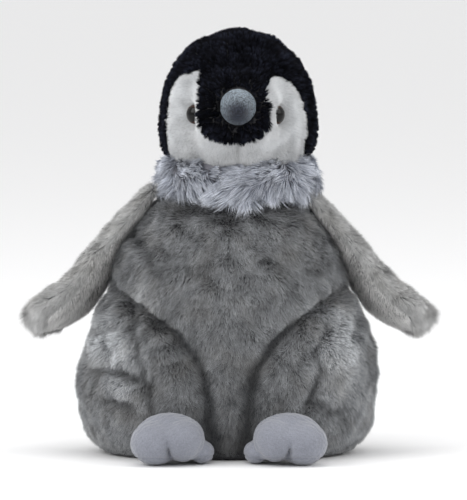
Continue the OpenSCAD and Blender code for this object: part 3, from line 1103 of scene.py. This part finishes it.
        # Painted shade in the creases and the folds, and low on the belly
        dark = 0.42 * self.crease(points) + 0.4 * self.fold_weight(points) + 0.2 * low
        return np.clip(patches + pale - dark, 0.02, 1.0)

    def comb(self, points: Array, normals: Array) -> Array:
        """Down the body, spreading a little away from the middle."""
        across = np.sign(points[:, 0]) * 0.12
        return np.stack([across, np.zeros(len(points)), -np.ones(len(points))], axis=1)

    def on_haunch(self, points: Array) -> Array:
        """True between the two creases of a haunch."""
        angle, z = self.angle(points), points[:, 2]
        return (z < self.waist_z) & (angle > self.front_seam(z)) & (angle < self.rear_seam(z))

    def build(self) -> None:
        """Builds the cloth and the five grey panels of pile."""
        paired = ("back_panel", "haunch_panel", "haunch_fill")
        nodes = ("belly_panel", "base_panel", "body_fill")
        nodes += tuple(f"{part}_{side}" for part in paired for side in ("left", "right"))
        cloth = StuffedForm(
            "torso_cloth", nodes, self.body, GREY_BACKING, 4 * MM,
            seams=self.seams, shape=self.shape,
        ).build()
        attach(cloth, self.body)
        coat = Coat(cloth)

        def panel(p: Array, kind: str, sign: float) -> Array:
            """True on one kind of panel, on one side of the body or, at 0, on both."""
            worn = (p[:, 2] > self.reach[0]) & (p[:, 2] < self.reach[1])
            haunch, ahead = self.on_haunch(p), self.angle(p) < self.side_seam
            where = {"belly": ~haunch & ahead, "haunch": haunch, "back": ~haunch & ~ahead}[kind]
            return worn & where & ((p[:, 0] * sign > 0) | (sign == 0))

        panels = [("belly", "", 0.0)]
        for side in Side:
            panels += [(kind, f"_{side.word}", side.value) for kind in ("haunch", "back")]
        for i, (kind, end, sign) in enumerate(panels):
            PileJob(
                f"{kind}_pile{end}", coat, self.pile, BODY_PILE, 100 + i * 10,
                lambda p, n, kind=kind, sign=sign: panel(p, kind, sign),
                self.comb, self.tone, self.shorter,
            ).lay(f"{kind}_panel{end}", self.body)

    def shorter(self, points: Array) -> Array:
        """Pile is shorter in the creases and where the toy rests."""
        resting = 0.45 + 0.55 * smooth_step(points[:, 2], 3 * MM, 12 * MM)
        return (1 - 0.35 * self.crease(points)) * resting


# ---- Neck ------------------------------------------------------------------------------------


@dataclass
class Neck:
    """The short neck with its ruff of long tufts."""

    pile: Pile = Pile(
        length=13.5 * MM, width=0.32 * MM, per_cm2=430, lean=50, bend=26, clump=3.0 * MM,
        gather=0.7, unrest=0.22, joints=3, curl=0.07, uneven=0.45, speckle=0.12,
    )
    body: str = "neck"

    def comb(self, points: Array, normals: Array) -> Array:
        """Sideways one way or the other in tufts, and down at the lower edge."""
        low, high = box_of("neck_ruff")
        out = unit((points - (low + high) / 2) * [1, 1, 0])
        sideways = np.stack([-out[:, 1], out[:, 0], np.zeros(len(points))], axis=1)
        sway = ripple(points, 26 * MM, 71) * 2.6 + ripple(points, 10 * MM, 72) * 0.7
        drop = 0.1 + 1.1 * smooth_step(-points[:, 2], -(low[2] + 12 * MM), -(low[2] + 2 * MM))
        return sideways * sway[:, None] + np.array([0, 0, -1.0]) * drop[:, None] + out * 0.3

    def build(self) -> None:
        """Builds the ruff's cloth and its long pile."""
        cloth = StuffedForm(
            "ruff_cloth", ("neck_ruff", "neck_fill"), self.body, RUFF_BACKING, 2.5 * MM,
            swell_cap=1.5 * MM,
        ).build()
        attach(cloth, self.body)
        low, high = box_of("neck_ruff")
        middle = (low + high) / 2

        def outside(p: Array, n: Array) -> Array:
            """True on the ruff's outer face."""
            radius = np.linalg.norm((p - middle)[:, :2], axis=1)
            chin = bell(p[:, 0] - middle[0], 24 * MM) * (p[:, 1] < middle[1])
            worn = (p[:, 2] > low[2] + 1 * MM) & (p[:, 2] < high[2] - 0.8 * MM * chin)
            return (radius > 33 * MM) & worn

        def tone(p: Array) -> Array:
            """How frosted the ruff is."""
            return 0.62 + 0.2 * ripple(p, 9 * MM, 75) + 0.16 * ripple(p, 3.2 * MM, 76)

        def longer(p: Array) -> Array:
            """Longer locks at the lower edge, shorter ones under the chin."""
            ahead = bell(p[:, 0] - middle[0], 22 * MM) * (p[:, 1] < middle[1])
            aside = smooth_step(np.abs(p[:, 0] - middle[0]), 26 * MM, 38 * MM)
            hem = smooth_step(-p[:, 2], -(low[2] + 10 * MM), -(low[2] + 2 * MM))
            brim = smooth_step(p[:, 2], high[2] - 6 * MM, high[2])
            return 0.95 + (0.5 * ahead + 0.45 * aside) * hem - 0.4 * ahead * brim

        PileJob(
            "ruff_pile", Coat(cloth), self.pile, RUFF_PILE, 300, outside, self.comb, tone, longer
        ).lay("neck_ruff", self.body)


# ---- Head ------------------------------------------------------------------------------------


@dataclass
class Head:
    """The round head: black hood and blaze, white cheeks, beak and eyes."""

    hood_pile: Pile = Pile(
        length=4.6 * MM, width=0.34 * MM, per_cm2=1100, lean=42, clump=3.6 * MM, gather=0.62,
        unrest=0.45, uneven=0.35, speckle=0.14,
    )
    cheek_pile: Pile = Pile(
        length=3.2 * MM, width=0.26 * MM, per_cm2=1200, lean=46, clump=1.8 * MM, gather=0.2,
        unrest=0.12, speckle=0.03,
    )
    # No pile within these distances of the beak and the eyes, or under this height
    beak_clear: float = 9.4 * MM
    eye_clear: float = 6.6 * MM
    pile_floor: float = 165 * MM
    # The blaze reaches this many degrees round from the front
    blaze_deg: float = 29.0
    dent: float = 4.2 * MM
    dent_width: float = 8.5 * MM
    crown_pile: float = 3.6 * MM
    chin_drop: float = 4.2 * MM
    jowl: float = 2.4 * MM
    body: str = "head"
    # Outline of each white cheek seen from the front: mm outwards from the middle, and up
    cheeks: dict[Side, tuple[tuple[float, float], ...]] = field(default_factory=lambda: {
        Side.RIGHT: (
            (-2.0, 177.0), (8.0, 177.6), (15.0, 178.6), (19.0, 181.2), (20.6, 186.4),
            (21.4, 192.0), (21.0, 198.0), (20.6, 204.0), (19.8, 209.5), (19.0, 215.0),
            (29.4, 211.6), (35.2, 203.6), (37.4, 194.8), (38.2, 185.6), (38.0, 176.2),
            (36.6, 168.8), (34.0, 158.0), (-2.0, 158.0),
        ),
        Side.LEFT: (
            (-2.0, 177.0), (5.0, 177.4), (11.9, 180.6), (15.8, 185.2), (17.2, 189.8),
            (16.5, 195.6), (15.2, 201.3), (14.7, 206.5), (18.2, 211.5), (27.4, 208.2),
            (32.0, 202.2), (35.2, 194.0), (36.6, 185.6), (36.8, 178.2), (35.4, 170.9),
            (33.0, 158.0), (-2.0, 158.0),
        ),
    })

    def __post_init__(self) -> None:
        """Reads the head's middle and its eyes from the frame."""
        low, high = box_of("hood_left", "hood_right")
        self.middle = (low + high) / 2
        self.eyes = [np.array(SafetyEye(side).seat()[0]) for side in Side]

    def on_cheek(self, points: Array) -> Array:
        """True inside the white cheeks, seen from the front."""
        across = points[:, 0] - self.middle[0]
        result = np.zeros(len(points), dtype=bool)
        for side, cheek in self.cheeks.items():
            flat = np.stack([across * side.value, points[:, 2]], axis=1) / MM
            shake = [ripple(points, 5 * MM, seed) for seed in (41, 42)]
            flat = flat + np.stack(shake, axis=1) * 0.5
            inside = np.zeros(len(points), dtype=bool)
            for a, b in zip(cheek, cheek[1:] + cheek[:1]):
                crosses = (a[1] > flat[:, 1]) != (b[1] > flat[:, 1])
                slope = (b[0] - a[0]) * (flat[:, 1] - a[1]) / (b[1] - a[1] + 1e-9) + a[0]
                inside ^= crosses & (flat[:, 0] < slope)
            result |= inside & (across * side.value >= 0)
        return result & (points[:, 1] < self.middle[1] + 4 * MM)

    def from_eyes(self, points: Array) -> list[Array]:
        """The distance of each place from either eye."""
        return [np.linalg.norm(points - eye, axis=1) for eye in self.eyes]

    def eye_dent(self, points: Array) -> Array:
        """1 at an eye and 0 away from it."""
        return np.max([bell(far, self.dent_width) for far in self.from_eyes(points)], axis=0)

    @staticmethod
    def chin_front(points: Array) -> Array:
        """1 at the front of the chin, 0 towards the neck."""
        return smooth_step(-points[:, 1], 8 * MM, 24 * MM)

    def shape(self, obj: bpy.types.Object) -> Array:
        """Dents the cloth round the eyes, pinches the chin seam and plumps out the jowls."""
        points, normals = vertex_array(obj.data), normal_array(obj.data)
        x, y, z = points.T
        chin = bell(x - self.middle[0], 1.6 * MM) * (z < 181 * MM) * (y < -20 * MM)
        lumps = 0.5 * MM * ripple(points, 12 * MM, 58)
        dent = self.eye_dent(points) * self.dent + chin * 0.5 * MM - lumps
        moved = points - normals * dent[:, None]
        moved[:, 2] -= self.crown_pile * np.clip((z - 198 * MM) / (40 * MM), 0, 1) ** 2
        side = unit((points - self.middle) * [1, 1, 0])[:, 0]
        low_jaw = smooth_step(z, 158 * MM, 168 * MM) * smooth_step(-z, -194 * MM, -176 * MM)
        moved[:, 0] += (self.jowl * side + 0.6 * MM * (side > 0) * side) * low_jaw
        drop = self.chin_drop * smooth_step(-z, -178 * MM, -168 * MM)
        moved[:, 2] -= drop * self.chin_front(points)
        return moved

    def comb(self, points: Array, normals: Array) -> Array:
        """Away from the beak, over the crown and down the back of the head."""
        low, high = beak_box()
        beak = np.array([self.middle[0], low[1] - 12 * MM, (low[2] + high[2]) / 2 + 2 * MM])
        return unit(points - beak) + np.array([0, 0, -0.35])

    def tone(self, points: Array) -> Array:
        """Faint streaks in the short pile, partly random tone and partly painted sheen on the
        black pile's tips.
        """
        return 0.34 + 0.26 * ripple(points, 10 * MM, 51) + 0.28 * ripple(points, 3.2 * MM, 52)

    def white_tone(self, points: Array) -> Array:
        """Even white, with painted shade in the eye dents and under the chin, and a little darker
        at the chin seam.
        """
        chin = bell(points[:, 0] - self.middle[0], 1.2 * MM) * (points[:, 2] < 181 * MM)
        # Painted shade under the front of the chin
        under = smooth_step(-points[:, 2], -181 * MM, -166 * MM) * (points[:, 1] < 0)
        white = 0.66 + 0.08 * ripple(points, 12 * MM, 53)
        # The eye dents get painted shade
        return white - 0.3 * self.eye_dent(points) - 0.2 * chin - 0.22 * under

    def build(self) -> None:
        """Builds the cloth, the black and the white pile, the beak and the eyes."""
        nodes = ("hood_left", "hood_right", "face_blaze", "cheek_left", "cheek_right", "head_fill")
        cloth = StuffedForm(
            "head_cloth", nodes, self.body, BLACK_BACKING, 2.4 * MM, swell_cap=1.2 * MM,
            smoothing=8, shape=self.shape,
        ).build()
        self.paint_backing(cloth)
        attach(cloth, self.body)
        for half in ("upper", "lower"):
            StuffedBeak(half).build()
        for side in Side:
            SafetyEye(side).build()
        coat = Coat(cloth)

        def blaze(p: Array, n: Array) -> Array:
            """True on the black stripe in the middle."""
            return self.free(p) & ~self.on_cheek(p) & (self.angle(p) < self.blaze_deg)

        def hood(p: Array, sign: float) -> Array:
            """True on one half of the hood."""
            behind = self.angle(p) >= self.blaze_deg
            return self.free(p) & ~self.on_cheek(p) & behind & self.on_side(p, sign)

        def cheek(p: Array, sign: float) -> Array:
            """True on one white cheek."""
            return self.free(p) & self.on_cheek(p) & self.on_side(p, sign)

        black = (self.hood_pile, BLACK_PILE, "black_pile", self.tone)
        white = (self.cheek_pile, WHITE_PILE, "white_pile", self.white_tone)
        jobs = [("blaze_pile", "face_blaze", black, 400, blaze)]
        for kind, look, seed, keep in (("hood", black, 410, hood), ("cheek", white, 450, cheek)):
            for i, side in enumerate(Side):
                jobs.append((
                    f"{kind}_pile_{side.word}", f"{kind}_{side.word}", look, seed + 10 * i,
                    lambda p, n, keep=keep, sign=side.value: keep(p, sign),
                ))
        for name, node, (pile, finish, slot, tone), seed, keep in jobs:
            PileJob(
                name, coat, pile, finish, seed, keep, self.comb, tone, self.near_eye
            ).lay(node, self.body)

    def from_beak(self, points: Array) -> Array:
        """How far each place lies from the beak's middle, seen from the front."""
        low, high = beak_box()
        middle = (low + high) / 2
        return np.hypot(points[:, 0] - middle[0], points[:, 2] - middle[2])

    def on_side(self, points: Array, sign: float) -> Array:
        """True on one side of the head's middle."""
        return (points[:, 0] - self.middle[0]) * sign > 0

    def free(self, points: Array) -> Array:
        """True where pile can grow: clear of the beak, the eyes and the neck."""
        at_beak = (self.from_beak(points) < self.beak_clear) & (points[:, 1] < -30 * MM)
        at_eye = np.min(self.from_eyes(points), axis=0) < self.eye_clear
        floor = self.pile_floor - self.chin_drop * self.chin_front(points)
        return ~at_beak & ~at_eye & (points[:, 2] > floor)

    def near_eye(self, points: Array) -> Array:
        """Pile is clipped shorter round the eyes and the beak."""
        near_beak = 0.5 + 0.5 * smooth_step(self.from_beak(points), 9 * MM, 17 * MM)
        clipped = np.where(points[:, 1] < -30 * MM, near_beak, 1.0)
        return clipped * (1 - 0.45 * self.eye_dent(points))

    def angle(self, points: Array) -> Array:
        """Degrees round the head from the front."""
        across, ahead = points[:, 0] - self.middle[0], self.middle[1] - points[:, 1]
        return np.degrees(np.abs(np.arctan2(across, ahead)))

    def paint_backing(self, cloth: bpy.types.Object) -> None:
        """Gives the cloth under the cheeks a white backing."""
        cloth.data.materials.append(WHITE_BACKING.material())
        centres = np.empty(len(cloth.data.polygons) * 3)
        cloth.data.polygons.foreach_get("center", centres)
        white = self.on_cheek(centres.reshape(-1, 3))
        cloth.data.polygons.foreach_set("material_index", white.astype(np.int32))
        cloth.data.update()


@dataclass
class StuffedBeak:
    """Half of the beak, seamed along the mouth line."""

    half: str
    plump: float = 1.03
    drop: float = 1.3 * MM
    # The plain cone's tip, in radii, and how far the mouth seam is drawn in
    end: float = 0.3
    pinch: float = 0.014
    body: str = "head"

    def build(self) -> None:
        """Turns the profile round the beak's axis and rounds it off."""
        low, high = beak_box()
        middle, length = (low + high) / 2, high[1] - low[1]
        middle[2] -= self.drop
        radius = (high[0] - low[0]) / 2 * self.plump
        bpy.ops.object.select_all(action="DESELECT")
        bpy.ops.mesh.primitive_cone_add(
            vertices=96, radius1=radius, radius2=radius * self.end, depth=length,
            location=(0, 0, length / 2),
        )
        obj = settle(bpy.context.view_layer.objects.active)
        obj.name = f"beak_{self.half}_cloth"
        up = self.half == "upper"
        edit_whole(
            obj,
            lambda: bpy.ops.mesh.subdivide(number_cuts=9),
            lambda: bpy.ops.mesh.bisect(
                plane_co=(0, 0, 0), plane_no=(0, 1, 0), clear_inner=up, clear_outer=not up,
                use_fill=True,
            ),
        )
        points = vertex_array(obj.data)
        t = np.clip(points[:, 2] / length, 0, 1)
        r = np.hypot(points[:, 0], points[:, 1])
        # Partly a dome and partly a straight cone
        dome = radius * np.sqrt(np.clip(1 - t ** 2.1, 0, 1))
        target = dome * 0.62 + radius * (1 - t) * 0.38
        cone = radius * (1 - 0.7 * t)
        points[:, :2] *= (target / cone)[:, None]
        seam = bell(points[:, 1], 0.9 * MM) * (r > 0.5 * cone)
        points[:, :2] *= (1 - self.pinch * seam)[:, None]
        move_vertices(obj.data, points)
        upright = Matrix.Rotation(math.radians(90), 4, "X")
        obj.data.transform(Matrix.Translation((middle[0], high[1], middle[2])) @ upright)
        edit_whole(
            obj,
            lambda: bpy.ops.mesh.remove_doubles(threshold=2e-5),
            lambda: bpy.ops.mesh.normals_make_consistent(inside=False),
        )
        bpy.ops.object.shade_smooth_by_angle(angle=math.radians(50))
        obj.data.materials.append(BeakFinish("Speckled velour", tuple(middle), radius).material())
        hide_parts(f"beak_{self.half}", "beak_fill")
        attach(obj, self.body)
        LOG.info("%s: %d faces", obj.name, len(obj.data.polygons))


@dataclass
class SafetyEye:
    """A plastic eye with a shank, seated in the cloth."""

    side: Side
    radius: float = 5.5 * MM
    look_deg: float = 42.0
    dome: float = 0.72
    # How far each is moved, left one first: the left eye is sewn nearer the middle
    forward: tuple[float, float] = (3.0 * MM, 0.8 * MM)
    inwards: tuple[float, float] = (6.0 * MM, 0.4 * MM)
    body: str = "head"

    def seat(self) -> tuple[Vector, Vector]:
        """Where the eye sits: the middle of the dome's flat back, and the way it looks."""
        a = math.radians(self.look_deg) * self.side.value
        look = Vector((math.sin(a), -math.cos(a), 0))
        verts = [Vector(v.co) for v in FRAME["nodes"][f"eye_{self.side.word}"].data.vertices]
        front = max(v.dot(look) for v in verts)
        cap = np.array([v for v in verts if v.dot(look) > front - 4.5 * MM])
        centre = Vector((cap.min(axis=0) + cap.max(axis=0)) / 2)
        which = list(Side).index(self.side)
        centre += look * (front + self.forward[which] - self.dome * self.radius - centre.dot(look))
        sideways = Vector((-math.cos(a) * self.side.value, -abs(math.sin(a)), 0))
        return centre + sideways * self.inwards[which], look

    def build(self) -> None:
        """Turns the dome's profile and dresses it with iris and pupil."""
        centre, look = self.seat()
        bpy.ops.object.select_all(action="DESELECT")
        bpy.ops.mesh.primitive_uv_sphere_add(
            segments=40, ring_count=24, radius=self.radius, location=(0, 0, 0)
        )
        obj = bpy.context.view_layer.objects.active
        obj.name = f"eye_{self.side.word}_dome"
        edit_whole(obj, lambda: bpy.ops.mesh.bisect(
            plane_co=(0, 0, 0), plane_no=(0, 0, 1), clear_inner=True, use_fill=True
        ))
        points = vertex_array(obj.data)
        points[:, 2] *= self.dome
        move_vertices(obj.data, points)
        bpy.ops.mesh.primitive_cylinder_add(
            vertices=20, radius=1.6 * MM, depth=9 * MM, location=(0, 0, -4.4 * MM)
        )
        join_all([obj, bpy.context.view_layer.objects.active])
        turn = look.to_track_quat("Z", "Y").to_matrix().to_4x4()
        obj.data.transform(Matrix.Translation(centre) @ turn)
        only(obj)
        bpy.ops.object.shade_smooth_by_angle(angle=math.radians(35))
        finish = EyeFinish(f"Eye {self.side.word}", tuple(centre), tuple(look), self.radius)
        obj.data.materials.append(finish.material())
        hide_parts(f"eye_{self.side.word}")
        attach(obj, self.body)


# ---- Flippers and tail -----------------------------------------------------------------------


@dataclass
class Flap:
    """A stuffed flap with long pile outside and short pile inside: a flipper or the tail."""

    name: str
    outer: str
    inner: str
    fill: str
    body: str
    root: tuple[float, float, float]
    tip: tuple[float, float, float]
    seed: int
    outer_pile: Pile
    inner_pile: Pile
    outer_finish: PileFinish
    inner_finish: PileFinish
    inner_slot: str
    outer_slot: str
    outer_face: tuple[float, float, float] = (0, 0, 1)
    hang: float = 0.0
    tuck: float = 0.0
    sag: float = 0.0
    blunt: float = 0.25

    def __post_init__(self) -> None:
        """Works out the way along the flap and the way out of its outer face."""
        way = np.array(self.tip) - np.array(self.root)
        self.length = np.linalg.norm(way)
        self.along = unit(way)
        face = np.array(self.outer_face, float)
        self.face = unit(face - (face @ self.along) * self.along)

    def reach(self, points: Array) -> Array:
        """How far along the flap each place lies: 0 at the root, 1 at the tip."""
        return ((points - np.array(self.root)) @ self.along) / self.length

    def shape(self, obj: bpy.types.Object) -> Array:
        """Hangs the rear edge lower, tucks the root in, lets the middle sag and blunts the tip."""
        points = vertex_array(obj.data)
        reach = np.clip(self.reach(points), 0, 1)
        shift = -self.hang * (points[:, 1] - self.root[1]) * smooth_step(reach, 0.05, 0.45)
        tucked = self.tuck * (1 - smooth_step(reach, 0.0, 0.2))
        moved = points + self.face * shift[:, None] - self.along * tucked[:, None]
        if self.sag:
            across = (points - np.array(self.root)) @ self.face
            middle = np.interp(reach, *self.middle_line(reach, across))
            blunt = self.blunt * smooth_step(reach, 0.45, 0.9)
            bow = self.sag * np.sin(np.pi * reach ** 1.5)
            moved += self.face * ((across - middle) * blunt - bow)[:, None]
        return moved

    @staticmethod
    def middle_line(reach: Array, across: Array) -> tuple[Array, Array]:
        """The flap's middle across its width at steps along its length."""
        steps = np.linspace(0, 1, 21)
        near = [across[np.abs(reach - t) < 0.05] for t in steps]
        return steps, np.array([(n.min() + n.max()) / 2 if len(n) else 0.0 for n in near])

    def build(self) -> None:
        """Builds the cloth and both coats."""
        cloth = StuffedForm(
            f"{self.name}_cloth", (self.outer, self.inner, self.fill), self.body, GREY_BACKING,
            2.2 * MM, swell_cap=1.2 * MM, smoothing=5, shape=self.shape,
        ).build()
        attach(cloth, self.body)
        coat, seed = Coat(cloth), self.seed

        def outside(p: Array, n: Array) -> Array:
            """True wherever the cloth doesn't face the inner side."""
            return (n @ self.face > -0.6) | (n @ self.along > 0.6)

        def comb(p: Array, n: Array) -> Array:
            """Along the flap, and down at its tip."""
            fall = 0.2 + 1.2 * smooth_step(self.reach(p), 0.8, 1.0)
            down = np.array([0, 0, -1.0]) * fall[:, None]
            return self.along + down + ripple_vector(p, 20 * MM, seed + 7) * 0.15

        def tone(p: Array) -> Array:
            """How frosted the outer pile is."""
            return 0.56 + 0.09 * ripple(p, 13 * MM, seed + 3) + 0.09 * ripple(p, 4 * MM, seed + 4)

        def pale(p: Array) -> Array:
            """How frosted the inner pile is."""
            return 0.6 + 0.08 * ripple(p, 10 * MM, seed + 6)

        def fringe(p: Array) -> Array:
            """Longer hairs at the tip."""
            return 0.9 + 0.75 * smooth_step(self.reach(p), 0.8, 0.97)

        PileJob(
            f"{self.name}_outer_pile", coat, self.outer_pile, self.outer_finish, seed,
            outside, comb, tone, fringe,
        ).lay(self.outer, self.body)
        PileJob(
            f"{self.name}_inner_pile", coat, self.inner_pile, self.inner_finish, seed + 1,
            lambda p, n: ~outside(p, n), comb, pale, fringe,
        ).lay(self.inner, self.body)


WING_OUTER = Pile(
    length=6.5 * MM, width=0.3 * MM, per_cm2=1100, lean=54, clump=2.1 * MM, gather=0.4, unrest=0.3,
    uneven=0.45, shortest=0.45,
)
WING_INNER = Pile(
    length=3.5 * MM, width=0.3 * MM, per_cm2=600, lean=50, clump=1.8 * MM, gather=0.2, unrest=0.12
)


def flipper(side: Side) -> Flap:
    """The flipper of one side."""
    name = f"wing_{side.word}"
    low, high = box_of(f"{name}_outer")
    left = side is Side.LEFT
    return Flap(
        name, f"{name}_outer", f"{name}_inner", f"{name}_fill", name, joint_place(f"{name}_lift"),
        (high[0] if left else low[0], 0.0, low[2]), 600 if left else 640,
        WING_OUTER, WING_INNER, WING_PILE, LINING_PILE, "wing_lining", "wing_pile",
        outer_face=(side.value, 0, 1), hang=0.3, tuck=9.5 * MM, sag=4.2 * MM,
    )


def tail() -> Flap:
    """The short tail."""
    low, high = box_of("tail_upper", "tail_lower")
    pile = Pile(length=7 * MM, width=0.34 * MM, per_cm2=1100, lean=58)
    return Flap(
        "tail", "tail_upper", "tail_lower", "tail_fill", "tail", joint_place("tail_flex"),
        (0.0, high[1], low[2] + 3 * MM), 700, pile, pile, BODY_PILE, BODY_PILE,
        "body_pile", "body_pile",
    )


# ---- Feet ------------------------------------------------------------------------------------


@dataclass
class Foot:
    """A suede foot with three toes, a sole seam and creases between the toes."""

    side: Side
    turn: float = 12.0
    voxel: float = 0.66 * MM
    smoothing: int = 26
    seam_up: float = 4.2 * MM
    pucker: float = 0.18 * MM
    # Each ball, in mm: outwards and forwards from the ankle, up from the floor, and three radii
    balls: tuple[tuple[float, float, float, float, float, float], ...] = (
        (3, 8, 15.0, 19.5, 15, 13.2),
        (9.5, 16, 12.2, 13.6, 15.5, 12.2),
        (-5.6, 12.5, 13.8, 11.6, 15.5, 12.0),
        (-14.6, 4, 6.4, 6.4, 10.0, 6.2),
    )
    # The slit between the two large toes, in the same measures
    slit: tuple[float, float, float, float, float, float] = (0.2, 30, 2.0, 1.1, 15, 13.5)

    @property
    def body(self) -> str:
        """The CAD body that this foot is."""
        return f"foot_{self.side.word}"

    def build(self) -> None:
        """Joins the rounded lumps of stuffing under one cloth and presses the seams in."""
        ankle = joint_place(f"{self.body}_flex")
        obj = join_all([self.ball(*sizes) for sizes in self.balls])
        obj.name = f"{self.body}_cloth"
        slit = self.ball(*self.slit)
        close_up(obj, "Close", self.voxel)
        cut = obj.modifiers.new("Slit", "BOOLEAN")
        cut.operation, cut.object = "DIFFERENCE", slit
        close_up(obj, "Even", self.voxel)
        ease(obj, self.smoothing)
        apply_all(obj)
        bpy.data.objects.remove(slit)
        points, normals = vertex_array(obj.data), normal_array(obj.data)
        seam_z = self.seam_up + 1.0 * MM * np.sin(points[:, 0] / (6 * MM))
        groove = bell(points[:, 2] - seam_z, 0.45 * MM) * 0.5 * MM
        pucker = self.pucker * ripple(points, 3.4 * MM, 81)
        points = points + normals * (pucker - groove)[:, None]
        points[:, 2] = np.maximum(points[:, 2], 0.15 * MM)
        points[:, 0] *= self.side.value
        turn = math.radians(self.turn) * self.side.value
        spin = np.array([[math.cos(turn), -math.sin(turn)], [math.sin(turn), math.cos(turn)]])
        points[:, :2] = points[:, :2] @ spin.T
        points += np.array([ankle[0], ankle[1], 0])
        move_vertices(obj.data, points)
        if self.side is Side.RIGHT:
            edit_whole(obj, bpy.ops.mesh.flip_normals)
        only(obj)
        bpy.ops.object.shade_smooth()
        obj.data.materials.clear()
        obj.data.materials.append(FOOT_SUEDE.material())
        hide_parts(*(f"{self.body}_{part}" for part in ("upper", "sole", "fill")))
        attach(obj, self.body)
        LOG.info("%s: %d faces", obj.name, len(obj.data.polygons))

    @staticmethod
    def ball(
        across: float, ahead: float, up: float, rx: float, ry: float, rz: float
    ) -> bpy.types.Object:
        """A stretched ball at a place measured from the ankle, in mm."""
        bpy.ops.object.select_all(action="DESELECT")
        bpy.ops.mesh.primitive_uv_sphere_add(
            segments=32, ring_count=20, radius=1, location=(across * MM, -ahead * MM, up * MM),
            scale=(rx * MM, ry * MM, rz * MM),
        )
        return settle(bpy.context.view_layer.objects.active)


# ---- Small and inner pieces ------------------------------------------------------------------


@dataclass
class InnerPieces:
    """The bag of pellets, the washers, the closing stitches and the blank label."""

    finishes: tuple[tuple[str, PlainFinish], ...] = (
        ("pellet_bag", PlainFinish("Bag cloth", (0.7, 0.68, 0.62))),
        ("pellet_fill", PlainFinish("Pellets", (0.75, 0.75, 0.74), roughness=0.3)),
        ("eye_washer_left", PlainFinish("Washer left", (0.8, 0.8, 0.78), roughness=0.4)),
        ("eye_washer_right", PlainFinish("Washer right", (0.8, 0.8, 0.78), roughness=0.4)),
        ("closing_thread", PlainFinish("Thread", (0.1, 0.1, 0.11), grain=3000.0, roughness=0.8)),
        ("care_label", PlainFinish("Blank satin", (0.8, 0.8, 0.8), grain=2500.0, roughness=0.35)),
    )

    def build(self) -> None:
        """Gives each CAD node that stays its own material."""
        for node, finish in self.finishes:
            materials = FRAME["nodes"][node].data.materials
            if not materials:
                materials.append(None)
            material = finish.material()
            for slot in range(len(materials)):
                materials[slot] = material


# ---- Studio ----------------------------------------------------------------------------------


@dataclass
class Studio:
    """A pale floor, soft lights and the camera."""

    elevation: float = 4.6
    distance: float = 4.0
    lens: float = 515.0
    aim: tuple[float, float, float] = (0.0025, 0.0, 0.1127)
    floor: float = 40.0
    sky: float = 0.86
    # Each light: its place, its width and its power
    lights: tuple[tuple[str, tuple[float, float, float], float, float], ...] = (
        ("Key", (-1.2, -0.7, 1.0), 1.0, 10),
        ("Fill", (1.3, -0.5, 0.9), 1.0, 6),
        ("Top", (0.0, 0.0, 1.6), 1.2, 6),
    )

    def build(self) -> None:
        """Builds the floor, the world, the lights and the camera."""
        bpy.ops.object.select_all(action="DESELECT")
        bpy.ops.mesh.primitive_plane_add(size=self.floor, location=(0, 0, 0))
        floor = bpy.context.view_layer.objects.active
        floor.name = "floor"
        material, _, shader = new_material("Pale floor")
        NodeTree.fill(shader, Base_Color=(0.94, 0.94, 0.945, 1), Roughness=0.9)
        floor.data.materials.append(material)
        floor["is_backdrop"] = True
        world = bpy.data.worlds.new("Studio")
        bpy.context.scene.world = world
        world.use_nodes = True
        background = next(n for n in world.node_tree.nodes if n.type == "BACKGROUND")
        NodeTree.fill(background, Color=(1, 1, 1, 1), Strength=self.sky)
        for light in self.lights:
            self.light(*light)
        bpy.context.scene.view_settings.view_transform = "Standard"
        camera = bpy.data.objects.new("Camera", bpy.data.cameras.new("Camera"))
        bpy.context.scene.collection.objects.link(camera)
        tilt = math.radians(self.elevation)
        away = Vector((0, -math.cos(tilt), math.sin(tilt)))
        camera.location = Vector(self.aim) + away * self.distance
        camera.rotation_euler = (-away).to_track_quat("-Z", "Y").to_euler()
        camera.data.lens = self.lens
        camera.data.clip_end = 30
        bpy.context.scene.camera = camera

    @staticmethod
    def light(name: str, place: tuple[float, float, float], size: float, power: float) -> None:
        """Adds a soft square light that faces the toy."""
        data = bpy.data.lights.new(name, "AREA")
        data.size, data.energy = size, power
        obj = bpy.data.objects.new(name, data)
        obj.location = place
        way = Vector((0, 0, 0.1)) - Vector(place)
        obj.rotation_euler = way.to_track_quat("-Z", "Y").to_euler()
        bpy.context.scene.collection.objects.link(obj)


def main() -> None:
    """Builds the toy from the feet up, the barest pieces first, then the studio."""
    for side in Side:
        Foot(side).build()
    tail().build()
    Head().build()
    Neck().build()
    for side in Side:
        flipper(side).build()
    Torso().build()
    InnerPieces().build()
    Studio().build()
    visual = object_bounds()
    for axis, *ends in zip("xyz", *CAD_BOX, *visual):
        LOG.info("%s: cad %.1f..%.1f mm, visual %.1f..%.1f mm", axis, *(end / MM for end in ends))


if __name__ == "__main__":
    main()
